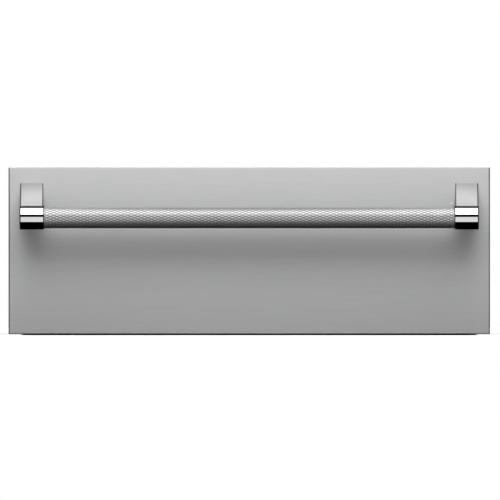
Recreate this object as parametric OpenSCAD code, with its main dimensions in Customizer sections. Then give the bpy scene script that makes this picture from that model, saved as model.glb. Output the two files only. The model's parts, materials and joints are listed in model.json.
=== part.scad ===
// Warming drawer with a brushed front and a knurled bar handle, in millimetres.
// X runs across the front, +Y points to the back and +Z points up.
// The origin is on the resting surface, under the middle of the whole object.

/* [Drawer front] */
// Reach of the drawer front past the casing's frame, on each side
front_reach = 5.5; // [3:0.5:12]
// Reach of the drawer front above the casing
front_above = 20; // [16:1:40]
// Depth of the drawer front, from its skin to its inner panel
front_t = 28; // [24:1:40]
// Thickness of the folded skin
skin_t = 1.2; // [0.8:0.1:1.6]
// Radius of the skin's front edges
skin_edge_r = 2; // [1.8:0.1:3]
// Width of the skin's inward lip behind
skin_lip = 12; // [9:1:16]
// Thickness of the inner panel
inner_t = 1; // [0.8:0.1:1.5]
// Gap under the drawer front, which is the part of the feet that shows
floor_gap = 2; // [1.5:0.5:6]
// Gap between the drawer front and the casing, which the seal closes
seal_gap = 5; // [4:0.5:8]

/* [Handle] */
// Diameter of the handle bar
bar_d = 32.5; // [26:0.5:34]
// Wall of the handle bar's tube
bar_wall = 2.5; // [1.5:0.5:4]
// Distance from the front's upper edge down to the bar's axis
bar_drop = 79.9; // [60:0.1:110]
// Distance from the front's skin to the bar's axis
bar_reach = 58; // [50:1:75]
// Distance from the handle's end to the side of the drawer front
handle_inset = 18.5; // [8:0.5:60]
// Wall of an end cap round the bar
cap_wall = 2; // [1.8:0.1:3]
// Length of an end cap
cap_len = 38.4; // [30:0.1:50]
// Thickness of an end cap's closed end
cap_end = 6; // [3:0.5:10]
// Radius of an end cap's inner edge
cap_edge_r = 1.6; // [0.8:0.1:1.7]
// Radius of an end cap's outer edge
cap_rim_r = 0.5; // [0.2:0.1:1.5]
// Width of a handle post
post_w = 36.2; // [28:0.1:44]
// Height of a post's foot above the bar's axis
post_up = 54.6; // [40:0.1:60]
// Depth of a post's foot below the bar's axis
post_down = 17; // [14:0.5:24]
// Thickness of a post's neck
neck_t = 14; // [10:0.5:18]
// How far a post's neck lies below the top of the end cap
neck_step = 2.5; // [1:0.5:4]
// Diameter of a handle screw
handle_screw_d = 5; // [4:0.5:6]
// Distance between a post's two screws
handle_screw_gap = 20; // [14:0.5:22]
// Depth of a handle screw in its post
handle_screw_len = 12; // [8:1:16]

/* [Indicator] */
// Diameter of the light pipe
pipe_d = 3; // [2:0.5:4]
// Distance from the light pipe to the end of the control fascia
pipe_inset = 13; // [8:0.5:30]
// Distance from the middle of the fascia's height down to the light pipe
pipe_drop = 10; // [0:0.5:14]

/* [Casing] */
// Space for the wiring between the insulation and the rear panel
rear_gap = 22.3; // [18:0.1:60]
// Thickness of the casing's sheets
sheet = 1.2; // [0.8:0.1:1.6]
// Thickness of the front frame
frame_t = 1.5; // [1:0.1:2]
// Reach of the front frame past each side of the casing
frame_flange = 12; // [10:0.5:12]
// Diameter of a mounting hole in the frame's flange
mount_hole_d = 4.6; // [4:0.1:5.5]
// Height between the mounting holes
mount_rise = 160; // [120:1:190]
// Width of the casing's folded flanges
fold = 14; // [12:1:18]
// Diameter of a foot
foot_d = 32; // [24:1:36]
// Depth of the wells that the feet stand in
well_depth = 6; // [4:0.5:7]
// Distance from a foot's middle to the casing's corner, both ways
foot_inset = 62; // [45:1:90]

/* [Cavity] */
// Width inside the heated cavity
cavity_w = 676; // [660:1:680]
// Height inside the heated cavity
cavity_h = 166; // [160:1:168]
// Depth inside the heated cavity
cavity_d = 510; // [505:1:520]
// Height of the cavity's floor above the casing's underside
cavity_lift = 22; // [18:0.5:24]
// Thickness of the cavity's liner
liner_t = 0.8; // [0.6:0.1:1.2]
// Thickness of the insulation at each side of the cavity
side_wool = 21.6; // [16:0.1:30]
// Thickness of the insulation behind the cavity
rear_wool = 20; // [15:1:22]
// Thickness of the insulation above the cavity
top_wool = 12; // [8:0.5:13]
// Width of the seal
seal_w = 8; // [6:0.5:9]
// Diameter of the heating element
element_d = 6.5; // [5:0.5:8.5]
// Distance between the element's straight runs
element_pitch = 80; // [60:2:90]
// Height of the element's middle above the cavity's floor
element_lift = 9; // [7:0.5:11]
// Height of the element's brackets above the element
bracket_rise = 3; // [2:0.5:5]

/* [Controls] */
// Distance from the control fascia's end in to the cavity's side
fascia_inset = 6; // [2:0.5:20]
// Height of the control fascia
fascia_h = 38; // [34:0.5:44]
// Height of the frame above the control fascia
fascia_margin = 8; // [6:0.5:14]
// Thickness of the fascia's rear flange
fascia_lip_t = 1.5; // [1:0.1:2]
// Reach of the fascia's rear flange behind the frame
fascia_lip = 4; // [2:0.5:5]
// Diameter of a button
button_d = 11; // [9:0.5:14]
// Distance between buttons
button_pitch = 26; // [20:1:32]
// How far a button stands out of the fascia
button_proud = 1.6; // [1:0.1:2.4]
// Travel of a button
button_travel = 0.8; // [0.4:0.1:1]
// Width of the display window
window_w = 96; // [70:1:120]
// Height of the display window
window_h = 20; // [16:1:24]
// Distance from the middle to the display window's middle
window_x = -40; // [-60:1:0]
// Distance from the display window to the first button's middle
button_gap = 40; // [20:1:60]
// Travel of the moisture vent's slider
vent_travel = 9; // [6:0.5:10]

/* [Drawer] */
// Distance from the front frame back to the slides
slide_front_gap = 4; // [3:0.5:10]
// Distance from the slides to the cavity's rear wall
slide_rear_gap = 6; // [4:0.5:40]
// Height of the slides' middle above the cavity's floor
slide_lift = 92; // [80:1:100]
// Height of the slides
slide_h = 45; // [42:0.5:50]
// Thickness of a slide, over its three members
slide_t = 12.7; // [12.5:0.1:14]
// How far the drawer opens
travel = 480; // [360:10:490]
// Gap between the pan and a rail's flange
pan_side_gap = 2.3; // [1:0.1:8]
// Distance from the pan to the cavity's rear wall
pan_rear_gap = 30.5; // [24:0.5:60]
// Gap between the pan and the brackets below it
pan_floor_gap = 5.75; // [4:0.25:20]
// Distance from the cavity's ceiling down to the rails
rail_drop = 18; // [12:0.5:26]
// Thickness of the pan's sheet
pan_t = 1; // [0.8:0.1:1.2]
// Radius of the pan's drawn corners
pan_r = 30; // [20:1:40]
// Width of the pan's rim
rim_w = 10; // [8:0.5:11]
// Distance from the inner panel to the pan's body
pan_inset = 24; // [22:1:30]
// Thickness of the drawer's rails
rail_t = 1.5; // [1:0.1:2]
// Width of a rail's top flange
rail_flange = 14; // [12:0.5:16]
// Diameter of the rack's frame
rack_rod = 5; // [4:0.5:6]
// Diameter of the rack's wires
rack_wire = 3; // [2:0.5:4]
// Distance between the rack's wires
rack_pitch = 28; // [20:1:40]
// Height of the rack
rack_h = 22; // [16:1:30]

/* [Hidden] */
$fn = 48;

// Clearance between pieces that are fitted together and don't move
fit = 0.2;
// Clearance round pieces that move
run = 0.3;
screw_head_d = 7;
screw_head_h = 2;
screw_d = 3.5;
screw_len = 6;

// The gland's flange and dome behind the rear panel
gland_bore_d = 9;
gland_d = 18;
gland_flange_d = 26;
gland_flange = 3;
gland_nut_d = 30;
gland_nut_t = 5;
gland_dome = 7;
gland_inside = 9;
gland_inset = 62;

// Sheets' screws, slots and holes
screw_edge = 9;
side_screw_inset = 60;
rear_screw_inset = 30;
slot_w = 34;
slot_h = 4;
slot_gap = 8;
slot_rise = 9;
lead_bend = 4;

// Widths, from the cavity outwards
cavity_x = cavity_w / 2;
liner_x = cavity_x + liner_t;
case_in_x = liner_x + 2 * fit + side_wool;
case_w = 2 * (case_in_x + sheet);
frame_x = case_w / 2 + frame_flange;
front_w = 2 * (frame_x + front_reach);
handle_w = front_w - 2 * handle_inset;
fascia_w = cavity_w - 2 * fascia_inset;
pipe_x = fascia_w / 2 - pipe_inset;
gland_x = -case_w / 2 + gland_inset;

// Heights and depths. The seal lies in the middle of the strip between the cavity and the fascia
strip_h = seal_w + 1;
seal_off = strip_h / 2;
case_h = cavity_lift + cavity_h + strip_h + fascia_h + fascia_margin;
front_h = case_h + front_above;
case_d = frame_t + cavity_d + liner_t + fit + rear_wool + rear_gap + sheet;
cap_d = bar_d + 2 * cap_wall;

// Places along Y, from the front to the back
handle_out = bar_reach + cap_d / 2;
overall_d = handle_out + front_t + seal_gap + case_d + gland_flange + gland_dome;
front_y = -overall_d / 2 + handle_out;
inner_y = front_y + front_t;
frame_y = inner_y + seal_gap;
frame_back_y = frame_y + frame_t;
liner_y = frame_back_y + cavity_d;
liner_back_y = liner_y + liner_t;
wool_back_y = liner_back_y + fit + rear_wool;
rear_y = frame_y + case_d;
rear_in_y = rear_y - sheet;

// Places along Z, from the bottom to the top
base_z = floor_gap;
front_top_z = base_z + front_h;
case_top_z = base_z + case_h;
case_in_z = case_top_z - sheet;
cavity_z = base_z + cavity_lift;
cavity_top_z = cavity_z + cavity_h;
liner_top_z = cavity_top_z + liner_t;
deck_z = liner_top_z + 2 * fit + top_wool;
deck_top_z = deck_z + sheet;
bar_z = front_top_z - bar_drop;
fascia_z = cavity_top_z + strip_h;
fascia_top_z = fascia_z + fascia_h;
fascia_mid_z = fascia_z + fascia_h / 2;
fascia_back_y = frame_back_y + fascia_lip_t;
pipe_z = fascia_mid_z - pipe_drop;
element_z = cavity_z + element_lift;
bracket_top_z = element_z + element_d / 2 + bracket_rise;

// Buttons stand in a row to the right of the display window
button_x0 = window_x + window_w / 2 + button_gap;
button_hole_d = button_d + 2 * run;
button_flange_d = button_d + 3;
button_flange_t = 1.2;
button_stem_d = 4;
button_stem = 4;
switch_y = fascia_back_y + run + button_flange_t + button_stem + button_travel + 0.1;
switch_t = 4;
board_y = switch_y + switch_t;
board_t = 1.6;
header_t = 6;
header_y = board_y + board_t + header_t;
display_bay = 26;
board_reach = 20;
board_margin = 4;
boss_d = 6;
board_in_x = window_x - window_w / 2 - board_reach;
board_out_x = pipe_x + board_reach / 2;
board_h = fascia_h - 2 * board_margin;

// Slide sections, measured from the cavity's wall and from the slide's middle height
slide_z = cavity_z + slide_lift;
slide_y = frame_back_y + slide_front_gap;
slide_len = cavity_d - slide_front_gap - slide_rear_gap;
gauge = 1.3;
ball_play = 0.05;
outer_ball_d = 4.7;
inner_ball_d = 3.9;
outer_flange_v = slide_h / 2 - gauge;
outer_ball_v = outer_flange_v - ball_play - outer_ball_d / 2;
middle_v = outer_flange_v - 2 * ball_play - outer_ball_d;
inner_ball_v = middle_v - gauge - ball_play - inner_ball_d / 2;
inner_v = middle_v - gauge - 2 * ball_play - inner_ball_d;
cage_t = 0.6;
outer_cage_a = gauge + 0.5;
middle_a = outer_cage_a + cage_t + 0.5;
inner_cage_a = middle_a + gauge + 0.5;
outer_ball_a = middle_a + outer_ball_d / 2 + 0.9;
inner_ball_a = inner_cage_a + cage_t + inner_ball_d / 2 + 0.4;
inner_flange_a = inner_cage_a + cage_t + 0.5;
cage_len = slide_len - travel / 2 - 20;
cage_y = slide_y + (slide_len - cage_len) / 2;
balls_per_row = 8;

// Rails and pan
rail_x = cavity_x - slide_t;
rail_top_z = cavity_top_z - rail_drop;
rail_below = 20;
rail_low_z = slide_z - rail_below;
rail_short = 8;
rail_end_y = slide_y + slide_len - rail_short;
rail_foot = 34;
crossbar_h = 30;
crossbar_gap = 4;
pan_rim_z = rail_top_z + pan_t;
pan_low_z = bracket_top_z + pan_floor_gap;
pan_y = inner_y + pan_inset;
pan_d = liner_y - pan_rear_gap - pan_y;
pan_w = 2 * (rail_x - rail_flange - pan_side_gap);
rack_margin = 14;
rack_turn_r = 20;
rack_leg_x = 60;
rack_z = pan_low_z + pan_t;

// Vent in the inner panel
vent_drop = 22;
vent_z = cavity_top_z - vent_drop;
vent_slots = 6;
vent_pitch = 2 * vent_travel;
vent_slot_w = vent_travel - 2;
vent_slot_h = 12;
vent_plate_edge = 5;
vent_plate_h = vent_slot_h + 2 * vent_plate_edge;
vent_plate_t = 1;
vent_pin_d = 4;
vent_pin_gap = 12;
vent_tab_w = 16;
vent_tab = 6;
vent_tab_t = 1.5;
vent_pin_x = vent_slots * vent_pitch / 2 + vent_pin_gap;
vent_guide_w = vent_travel + vent_pin_d + 2 * run;
vent_plate_x = vent_pin_x + vent_guide_w / 2 + vent_pin_d;

// A box between two corners, each axis given as [low, high]
module block(x, y, z)
    translate([x[0], y[0], z[0]])
        cube([x[1] - x[0], y[1] - y[0], z[1] - z[0]]);

// The children, and their mirror image on the other side of the middle
module both_sides() {
    children();
    mirror([1, 0, 0]) children();
}

// The child as drawn for the right side, or mirrored to the left
module on_side(left) mirror([left ? 1 : 0, 0, 0]) children();

// A cylinder along Y from one place to another
module rod_y(x, z, d, y) translate([x, y[0], z]) rotate([-90, 0, 0]) cylinder(h = y[1] - y[0], d = d);

// A cylinder along X from one place to another
module rod_x(y, z, d, x) translate([x[0], y, z]) rotate([0, 90, 0]) cylinder(h = x[1] - x[0], d = d);

// A rectangle with round corners, standing in the XZ plane and cut through Y
module round_plate(x, z, r, y)
    translate([0, y[1], 0]) rotate([90, 0, 0]) linear_extrude(y[1] - y[0])
        union() {
            translate([x[0] + r, z[0]]) square([x[1] - x[0] - 2 * r, z[1] - z[0]]);
            translate([x[0], z[0] + r]) square([x[1] - x[0], z[1] - z[0] - 2 * r]);
            for (cx = [x[0] + r, x[1] - r], cz = [z[0] + r, z[1] - r]) translate([cx, cz]) circle(r);
        }

// A rectangle with round corners, lying flat
module round_deck(x, y, r, z)
    translate([0, 0, z[0]]) linear_extrude(z[1] - z[0])
        union() {
            translate([x[0] + r, y[0]]) square([x[1] - x[0] - 2 * r, y[1] - y[0]]);
            translate([x[0], y[0] + r]) square([x[1] - x[0], y[1] - y[0] - 2 * r]);
            for (cx = [x[0] + r, x[1] - r], cy = [y[0] + r, y[1] - r]) translate([cx, cy]) circle(r);
        }

// A pan-head screw with its head's seat at the origin, its head along +Z and its shank along -Z
module screw(head_d, head_h, shank_d, shank_len) {
    slot_w = head_d / 6;
    difference() {
        union() {
            cylinder(h = head_h, d = head_d);
            translate([0, 0, -shank_len]) cylinder(h = shank_len, d = shank_d);
        }
        for (turn = [0, 90]) rotate([0, 0, turn])
            translate([-head_d * 0.28, -slot_w / 2, head_h / 2]) cube([head_d * 0.56, slot_w, head_h]);
    }
}

function unit(v) = v / norm(v);
function across(v) = abs(v.x) > 0.5 ? [0, 1, 0] : [1, 0, 0];
function frame_of(a, b, c, at) = [[a.x, b.x, c.x, at.x], [a.y, b.y, c.y, at.y],
                                  [a.z, b.z, c.z, at.z], [0, 0, 0, 1]];

// A wire of diameter d through points that turn at right angles, with bends of one radius
module wire(points, d, bend) {
    last = len(points) - 1;
    for (i = [0 : last - 1]) {
        way = unit(points[i + 1] - points[i]);
        start = points[i] + (i == 0 ? 0 : bend) * way;
        stop = points[i + 1] - (i == last - 1 ? 0 : bend) * way;
        side = across(way);
        multmatrix(frame_of(side, cross(way, side), way, start)) cylinder(h = norm(stop - start), d = d);
    }
    for (i = [1 : last - 1]) {
        into = unit(points[i] - points[i - 1]);
        out = unit(points[i + 1] - points[i]);
        multmatrix(frame_of(-out, into, cross(-out, into), points[i] + bend * (out - into)))
            rotate_extrude(angle = 90) translate([bend, 0]) circle(d = d);
    }
}

// ---- Casing ----

well_gap = 3;
foot_x = case_w / 2 - foot_inset;
foot_ys = [frame_y + foot_inset, rear_y - foot_inset];
base_x = case_in_x - fit;

// The folded tray that carries the casing, with a raised well over each foot
module base_pan() color("gainsboro") {
    well_r = foot_d / 2 + well_gap;
    difference() {
        union() {
            block([-base_x, base_x], [frame_back_y, rear_in_y], [base_z, base_z + sheet]);
            both_sides() difference() {
                block([base_x - sheet, base_x], [frame_back_y, rear_in_y], [base_z, base_z + fold]);
                for (y = side_screw_ys())
                    rod_x(y, base_z + fold / 2, screw_d + fit, [case_in_x - screw_edge, case_w]);
            }
            difference() {
                block([-base_x, base_x], [rear_in_y - sheet, rear_in_y], [base_z, base_z + fold]);
                for (x = rear_screw_xs())
                    rod_y(x, base_z + fold / 2, screw_d + fit, [rear_y - screw_edge, rear_y]);
            }
            both_sides() for (y = foot_ys)
                translate([foot_x, y, base_z]) cylinder(h = well_depth + sheet, r = well_r);
        }
        both_sides() for (y = foot_ys)
            translate([foot_x, y, base_z - 1]) cylinder(h = well_depth + 1, r = well_r - sheet);
    }
}

// Rows of round-ended slots, cut along +Y by the depth given
module vent_slot(w, h, y) {
    block([-(w - h) / 2, (w - h) / 2], y, [-h / 2, h / 2]);
    for (x = [-(w - h) / 2, (w - h) / 2]) rod_y(x, 0, h, y);
}

function side_screw_ys() = [for (i = [0 : 2])
                            frame_y + side_screw_inset + i * (case_d - 2 * side_screw_inset) / 2];
function rear_screw_xs() = [for (i = [0 : 3]) (i - 1.5) * (case_w - 2 * rear_screw_inset) / 3];
function rear_side_zs() = [base_z + case_h * 0.36, base_z + case_h * 0.68];
rear_screw_in = fold / 2 + sheet;
side_slot_inset = 60;
side_slot_drop = 12;
rear_slot_x = 20;
rear_slot_z = 14;

// The folded cover: both sides and the top in one sheet, with lips for the rear panel
module outer_wrap() color("silver") {
    difference() {
        block([-case_w / 2, case_w / 2], [frame_back_y, rear_in_y], [base_z, case_top_z]);
        block([-case_in_x, case_in_x], [frame_back_y - 1, rear_in_y - sheet], [base_z - 1, case_in_z]);
        block([-case_in_x + fold, case_in_x - fold], [rear_in_y - sheet - 1, rear_in_y + 1],
              [base_z - 1, case_in_z - fold]);
        both_sides() block([0, case_in_x], [rear_in_y - sheet - 1, rear_in_y + 1],
                           [base_z - 1, base_z + fold + 1]);
        both_sides() {
            for (y = side_screw_ys())
                rod_x(y, base_z + fold / 2, screw_d + fit, [case_in_x - screw_edge, case_w]);
            for (z = rear_side_zs())
                rod_y(case_w / 2 - rear_screw_in, z, screw_d + fit, [rear_y - screw_edge, rear_y]);
            for (row = [0 : 2], column = [0 : 5])
                translate([0, rear_y - side_slot_inset - column * (slot_w + slot_gap),
                           case_top_z - side_slot_drop - row * slot_rise])
                    rotate([0, 0, 90]) vent_slot(slot_w, slot_h, [-case_w, -case_w / 2 + 2 * sheet]);
        }
        for (x = rear_screw_xs())
            rod_y(x, case_top_z - rear_screw_in, screw_d + fit, [rear_y - screw_edge, rear_y]);
        rod_y(gland_x, gland_z(), gland_nut_d + 1, [rear_in_y - sheet - 1, rear_in_y + 1]);
    }
}

// The screwed-on back, with air slots above and below, and the cable's hole
module rear_panel() color("lightgrey") {
    columns = floor((case_w / 2 - 2 * rear_screw_inset) / (slot_w + slot_gap));
    difference() {
        block([-case_w / 2, case_w / 2], [rear_in_y, rear_y], [base_z, case_top_z]);
        for (x = rear_screw_xs(), z = [base_z + fold / 2, case_top_z - rear_screw_in])
            rod_y(x, z, screw_d + fit, [rear_in_y - 1, rear_y + 1]);
        both_sides() for (z = rear_side_zs())
            rod_y(case_w / 2 - rear_screw_in, z, screw_d + fit, [rear_in_y - 1, rear_y + 1]);
        rod_y(gland_x, gland_z(), gland_d + 2 * fit, [rear_in_y - 1, rear_y + 1]);
        for (row = [0 : 2], column = [0 : columns - 1])
            translate([rear_slot_x + column * (slot_w + slot_gap), 0, gland_z() + (row - 1) * slot_rise])
                vent_slot(slot_w, slot_h, [rear_in_y - 1, rear_y + 1]);
        for (row = [0 : 1], column = [-columns : columns])
            translate([column * (slot_w + slot_gap), 0, base_z + fold + rear_slot_z + row * slot_rise])
                vent_slot(slot_w, slot_h, [rear_in_y - 1, rear_y + 1]);
    }
}

function gland_z() = deck_top_z + (case_in_z - deck_top_z) / 2;

// The face that the seal and the fascia sit on, with flanges that screw to a cabinet
module front_frame() color("silver") {
    difference() {
        block([-frame_x, frame_x], [frame_y, frame_back_y], [base_z, case_top_z]);
        block([-cavity_x, cavity_x], [frame_y - 1, frame_back_y + 1], [cavity_z, cavity_top_z]);
        block([-fascia_w / 2, fascia_w / 2], [frame_y - 1, frame_back_y + 1], [fascia_z, fascia_top_z]);
        both_sides() for (z = [-mount_rise / 2, mount_rise / 2])
            rod_y(frame_x - frame_flange / 2, base_z + case_h / 2 + z, mount_hole_d,
                  [frame_y - 1, frame_back_y + 1]);
    }
}

// ---- Cavity ----

element_runs = 6;
element_x = (element_runs - 1) / 2 * element_pitch;
element_front_gap = 50;
element_rear_gap = 60;
element_front_y = frame_back_y + element_front_gap;
element_turn_y = liner_y - element_rear_gap;
element_end_y = wool_back_y + 6;
element_flange_d = 16;
probe_d = 5;
probe_flange_d = 12;
probe_x = 250;
probe_drop = 34;
probe_z = cavity_top_z - probe_drop;
probe_lead_d = 2.4;
probe_lead_bend = 6;
flange_t = 2;
cutout_x = 120;
cutout_d = 16;
cutout_flange_d = 26;
cutout_tab = 5;
tab_len = 7;
tab_w = 6;
tab_t = 0.8;
cutout_drop = 49.8;
cutout_z = cavity_top_z - cutout_drop;
bracket_t = 1;
bracket_foot = 10;
bracket_reach = 14;
bracket_inset = 40;

// The holes that the element, the probe and the cutout need in the walls behind the cavity
module rear_holes(element_hole, probe_hole, cutout_hole, y) {
    both_sides() rod_y(element_x, element_z, element_hole, y);
    rod_y(probe_x, probe_z, probe_hole, y);
    if (cutout_hole > 0) rod_y(cutout_x, cutout_z, cutout_hole, y);
}

// The five-sided heated box
module cavity_liner() color("silver") difference() {
    block([-liner_x, liner_x], [frame_back_y, liner_back_y], [cavity_z - liner_t, liner_top_z]);
    block([-cavity_x, cavity_x], [frame_back_y - 1, liner_y], [cavity_z, cavity_top_z]);
    rear_holes(element_d + 2 * run, probe_d + 2 * run, 0, [liner_y - 1, liner_back_y + 1]);
}

wool_x = liner_x - 1;
wool_low_z = base_z + well_depth + sheet + fit;

module top_insulation() color("khaki")
    block([-wool_x, wool_x], [frame_back_y + display_bay, liner_back_y],
          [liner_top_z + fit, deck_z - fit]);

module bottom_insulation() color("khaki")
    block([-wool_x, wool_x], [frame_back_y + fit, liner_back_y], [wool_low_z, cavity_z - liner_t - fit]);

module side_insulation() color("khaki") both_sides()
    block([liner_x + fit, case_in_x - fit], [frame_back_y + fit, liner_back_y],
          [base_z + fold + fit, deck_z - fit]);

module rear_insulation() color("khaki") difference() {
    block([-wool_x, wool_x], [liner_back_y + fit, wool_back_y], [wool_low_z, deck_z - fit]);
    rear_holes(element_flange_d + 6, probe_flange_d + 4, cutout_flange_d + 4,
               [liner_back_y, wool_back_y + 1]);
}

function run_x(i) = (i - (element_runs - 1) / 2) * element_pitch;

// The element's path: each run's two ends in turn, from the rear wall, to and fro, and back to it
element_bend = element_pitch / 2 - 3;
element_path = [for (run = [0 : element_runs - 1], leaving = [false, true])
    let (at_front = (run % 2 == 0) == leaving, at_wall = leaving ? run == element_runs - 1 : run == 0)
    [run_x(run),
     at_front ? element_front_y : at_wall ? element_end_y : element_turn_y, element_z]];

// The sheathed element over the cavity's floor, with its flanges and tabs
module heating_element() color("dimgray") {
    wire(element_path, element_d, element_bend);
    both_sides() {
        rod_y(element_x, element_z, element_flange_d, [liner_back_y + fit, liner_back_y + fit + flange_t]);
        block([element_x - tab_w / 2, element_x + tab_w / 2], [element_end_y - 1, element_end_y + tab_len],
              [element_z - tab_t / 2, element_z + tab_t / 2]);
    }
}

// Notched strips that hold the element above the floor
module element_brackets() color("silver") {
    x = element_x + bracket_reach;
    for (y = [element_front_y + bracket_inset, element_turn_y - bracket_inset])
        difference() {
            union() {
                block([-x, x], [y, y + bracket_t], [cavity_z, bracket_top_z]);
                block([-x, x], [y, y + bracket_foot], [cavity_z, cavity_z + bracket_t]);
            }
            for (i = [0 : element_runs - 1])
                rod_y(run_x(i), element_z, element_d + fit, [y - 1, y + bracket_t + 1]);
        }
}

// A sheathed probe through the rear wall, with its flange and its lead to the control board
module temperature_probe() color("silver") {
    x = pcb_x[0] + plug_x[2] + plug_w / 2;
    turn_y = wool_back_y - 34;
    down_y = wool_back_y + 13;
    rod_y(probe_x, probe_z, probe_d, [liner_y - 12, wool_back_y + 4]);
    rod_y(probe_x, probe_z, probe_flange_d, [liner_back_y + fit, liner_back_y + fit + flange_t]);
    wire([[x, plug_end_y, lead_z], [x, turn_y, lead_z], [probe_x, turn_y, lead_z],
          [probe_x, down_y, lead_z], [probe_x, down_y, probe_z], [probe_x, wool_back_y + 3, probe_z]],
         probe_lead_d, probe_lead_bend);
}

// A snap-disc cutout clamped to the liner's back
module thermal_cutout() color("saddlebrown") {
    rod_y(cutout_x, cutout_z, cutout_flange_d, [liner_back_y, liner_back_y + 1]);
    rod_y(cutout_x, cutout_z, cutout_d, [liner_back_y, wool_back_y - 4]);
    for (x = [-1, 1] * cutout_tab)
        block([cutout_x + x - tab_t / 2, cutout_x + x + tab_t / 2], [wool_back_y - 5, wool_back_y + tab_len],
              [cutout_z - tab_w / 2, cutout_z + tab_w / 2]);
}

// The bulb seal round the cavity's mouth
module cavity_seal() color("dimgray") {
    x = cavity_x + seal_off;
    low = cavity_z - seal_off;
    high = cavity_top_z + seal_off;
    strip_t = 1.2;
    bulb = seal_gap - run - strip_t / 2;
    bulb_y = frame_y - strip_t / 2 - bulb / 2;
    turn_r = seal_w / 2 + 1;
    difference() {
        round_plate([-x - seal_w / 2, x + seal_w / 2], [low - seal_w / 2, high + seal_w / 2], turn_r,
                    [frame_y - strip_t, frame_y]);
        block([-x + seal_w / 2, x - seal_w / 2], [frame_y - strip_t - 1, frame_y + 1],
              [low + seal_w / 2, high - seal_w / 2]);
    }
    for (z = [low, high]) rod_x(bulb_y, z, bulb, [-x + turn_r, x - turn_r]);
    for (side = [-x, x])
        translate([side, bulb_y, low + turn_r]) cylinder(h = high - low - 2 * turn_r, d = bulb);
    for (corner = [[1, 1, 0], [-1, 1, 90], [-1, -1, 180], [1, -1, 270]])
        translate([corner.x * (x - turn_r), bulb_y, corner.y > 0 ? high - turn_r : low + turn_r])
            rotate([90, 0, 0]) rotate([0, 0, corner.z]) rotate_extrude(angle = 90)
                translate([turn_r, 0]) circle(d = bulb);
}

// ---- Electronics ----

pcb_w = 180;
pcb_d = 110;
pcb_left_x = -250;
pcb_rear_gap = 80;
pcb_x = [pcb_left_x, pcb_left_x + pcb_w];
pcb_y = [wool_back_y - pcb_rear_gap - pcb_d, wool_back_y - pcb_rear_gap];
pcb_edge = 6;
pcb_hole_d = 3;
pcb_post_d = 7;
pcb_lift = 8;
pcb_z = deck_top_z + pcb_lift;
pcb_top_z = pcb_z + board_t;
pcb_holes = [for (x = [pcb_x[0] + pcb_edge, pcb_x[1] - pcb_edge],
                  y = [pcb_y[0] + pcb_edge, pcb_y[1] - pcb_edge]) [x, y]];

// Plugs along the board's rear edge: power, heater and probe, and the header for the ribbon
plug_pitch = 40;
plug_x = [plug_pitch - 10, 2 * plug_pitch - 10, 3 * plug_pitch - 10];
plug_w = 24;
plug_d = 10;
plug_h = 12;
plug_y = pcb_d - plug_d - 4;
plug_end_y = pcb_y[0] + plug_y + plug_d;
header_w = 24;
header_d = 8;
ribbon_x = pcb_x[1] - header_w;

// What stands on the board
relay_w = 19;
relay_d = 15;
relay_h = 15;
relay_pitch = 24;
transformer_w = 42;
transformer_d = 34;
transformer_h = 24;
capacitor_d = 10;
capacitor_h = 14;
capacitor_pitch = 16;
chip_w = 22;
chip_h = 2.5;
sink_t = 3;
sink_d = 24;
sink_h = 16;

// The shelf over the insulation, with folded sides and pressed posts for the board
module control_deck() color("silver") {
    difference() {
        union() {
            block([-base_x, base_x], [frame_back_y + display_bay, wool_back_y], [deck_z, deck_top_z]);
            both_sides() block([base_x - sheet, base_x], [frame_back_y + display_bay, wool_back_y],
                               [deck_z, deck_z + fold]);
        }
        for (p = pcb_holes) translate([p.x, p.y, deck_z - 1]) cylinder(h = sheet + 2, d = pcb_hole_d);
    }
    for (p = pcb_holes) translate([p.x, p.y, deck_z]) difference() {
        cylinder(h = pcb_lift + sheet, d = pcb_post_d);
        translate([0, 0, -1]) cylinder(h = pcb_lift + sheet + 2, d = pcb_hole_d);
    }
}

module control_board() color("darkgreen") difference() {
    block(pcb_x, pcb_y, [pcb_z, pcb_top_z]);
    for (p = pcb_holes) translate([p.x, p.y, pcb_z - 1]) cylinder(h = board_t + 2, d = pcb_hole_d);
}

// A part that stands on the board: its corner from the board's corner, and its size
module on_board(at, size) translate([pcb_x[0] + at.x, pcb_y[0] + at.y, pcb_top_z]) cube(size);

module board_components() color("black") {
    for (i = [0 : 2]) on_board([16 + i * relay_pitch, 12], [relay_w, relay_d, relay_h]);
    on_board([94, 14], [transformer_w, transformer_d, transformer_h]);
    for (i = [0 : 3]) translate([pcb_x[0] + 24 + i * capacitor_pitch, pcb_y[0] + 46, pcb_top_z])
        cylinder(h = capacitor_h, d = capacitor_d);
    on_board([30, 62], [chip_w, chip_w, chip_h]);
    on_board([70, 60], [sink_t, sink_d, sink_h]);
    for (x = plug_x) on_board([x, plug_y], [plug_w, plug_d, plug_h]);
    translate([ribbon_x - header_w / 2, pcb_y[0], pcb_top_z]) cube([header_w, header_d, header_d]);
}

pole_pitch = 19;
pole_w = 16;
pole_h = 18;
pole_hole_d = 5;
block_edge = 3;
block_w = 2 * (pole_pitch + block_edge) + pole_w;
block_d = 24;
block_h = 10;
block_rear_gap = 36;
block_y = [wool_back_y - block_rear_gap - block_d, wool_back_y - block_rear_gap];
block_x = gland_x - block_w / 2;

function pole_x(i) = block_x + block_edge + pole_w / 2 + i * pole_pitch;

// A three-pole terminal block beside the cable's gland
module terminal_block() color("ivory") difference() {
    union() {
        block([block_x, block_x + block_w], block_y, [deck_top_z, deck_top_z + block_h]);
        for (i = [0 : 2]) block([pole_x(i) - pole_w / 2, pole_x(i) + pole_w / 2],
                                [block_y[0] + block_edge, block_y[1] - block_edge],
                                [deck_top_z + block_h - 1, deck_top_z + pole_h]);
    }
    for (i = [0 : 2]) translate([pole_x(i), block_y[0] + block_d / 2, deck_top_z + pole_h - 4])
        cylinder(h = block_h, d = pole_hole_d);
}

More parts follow.
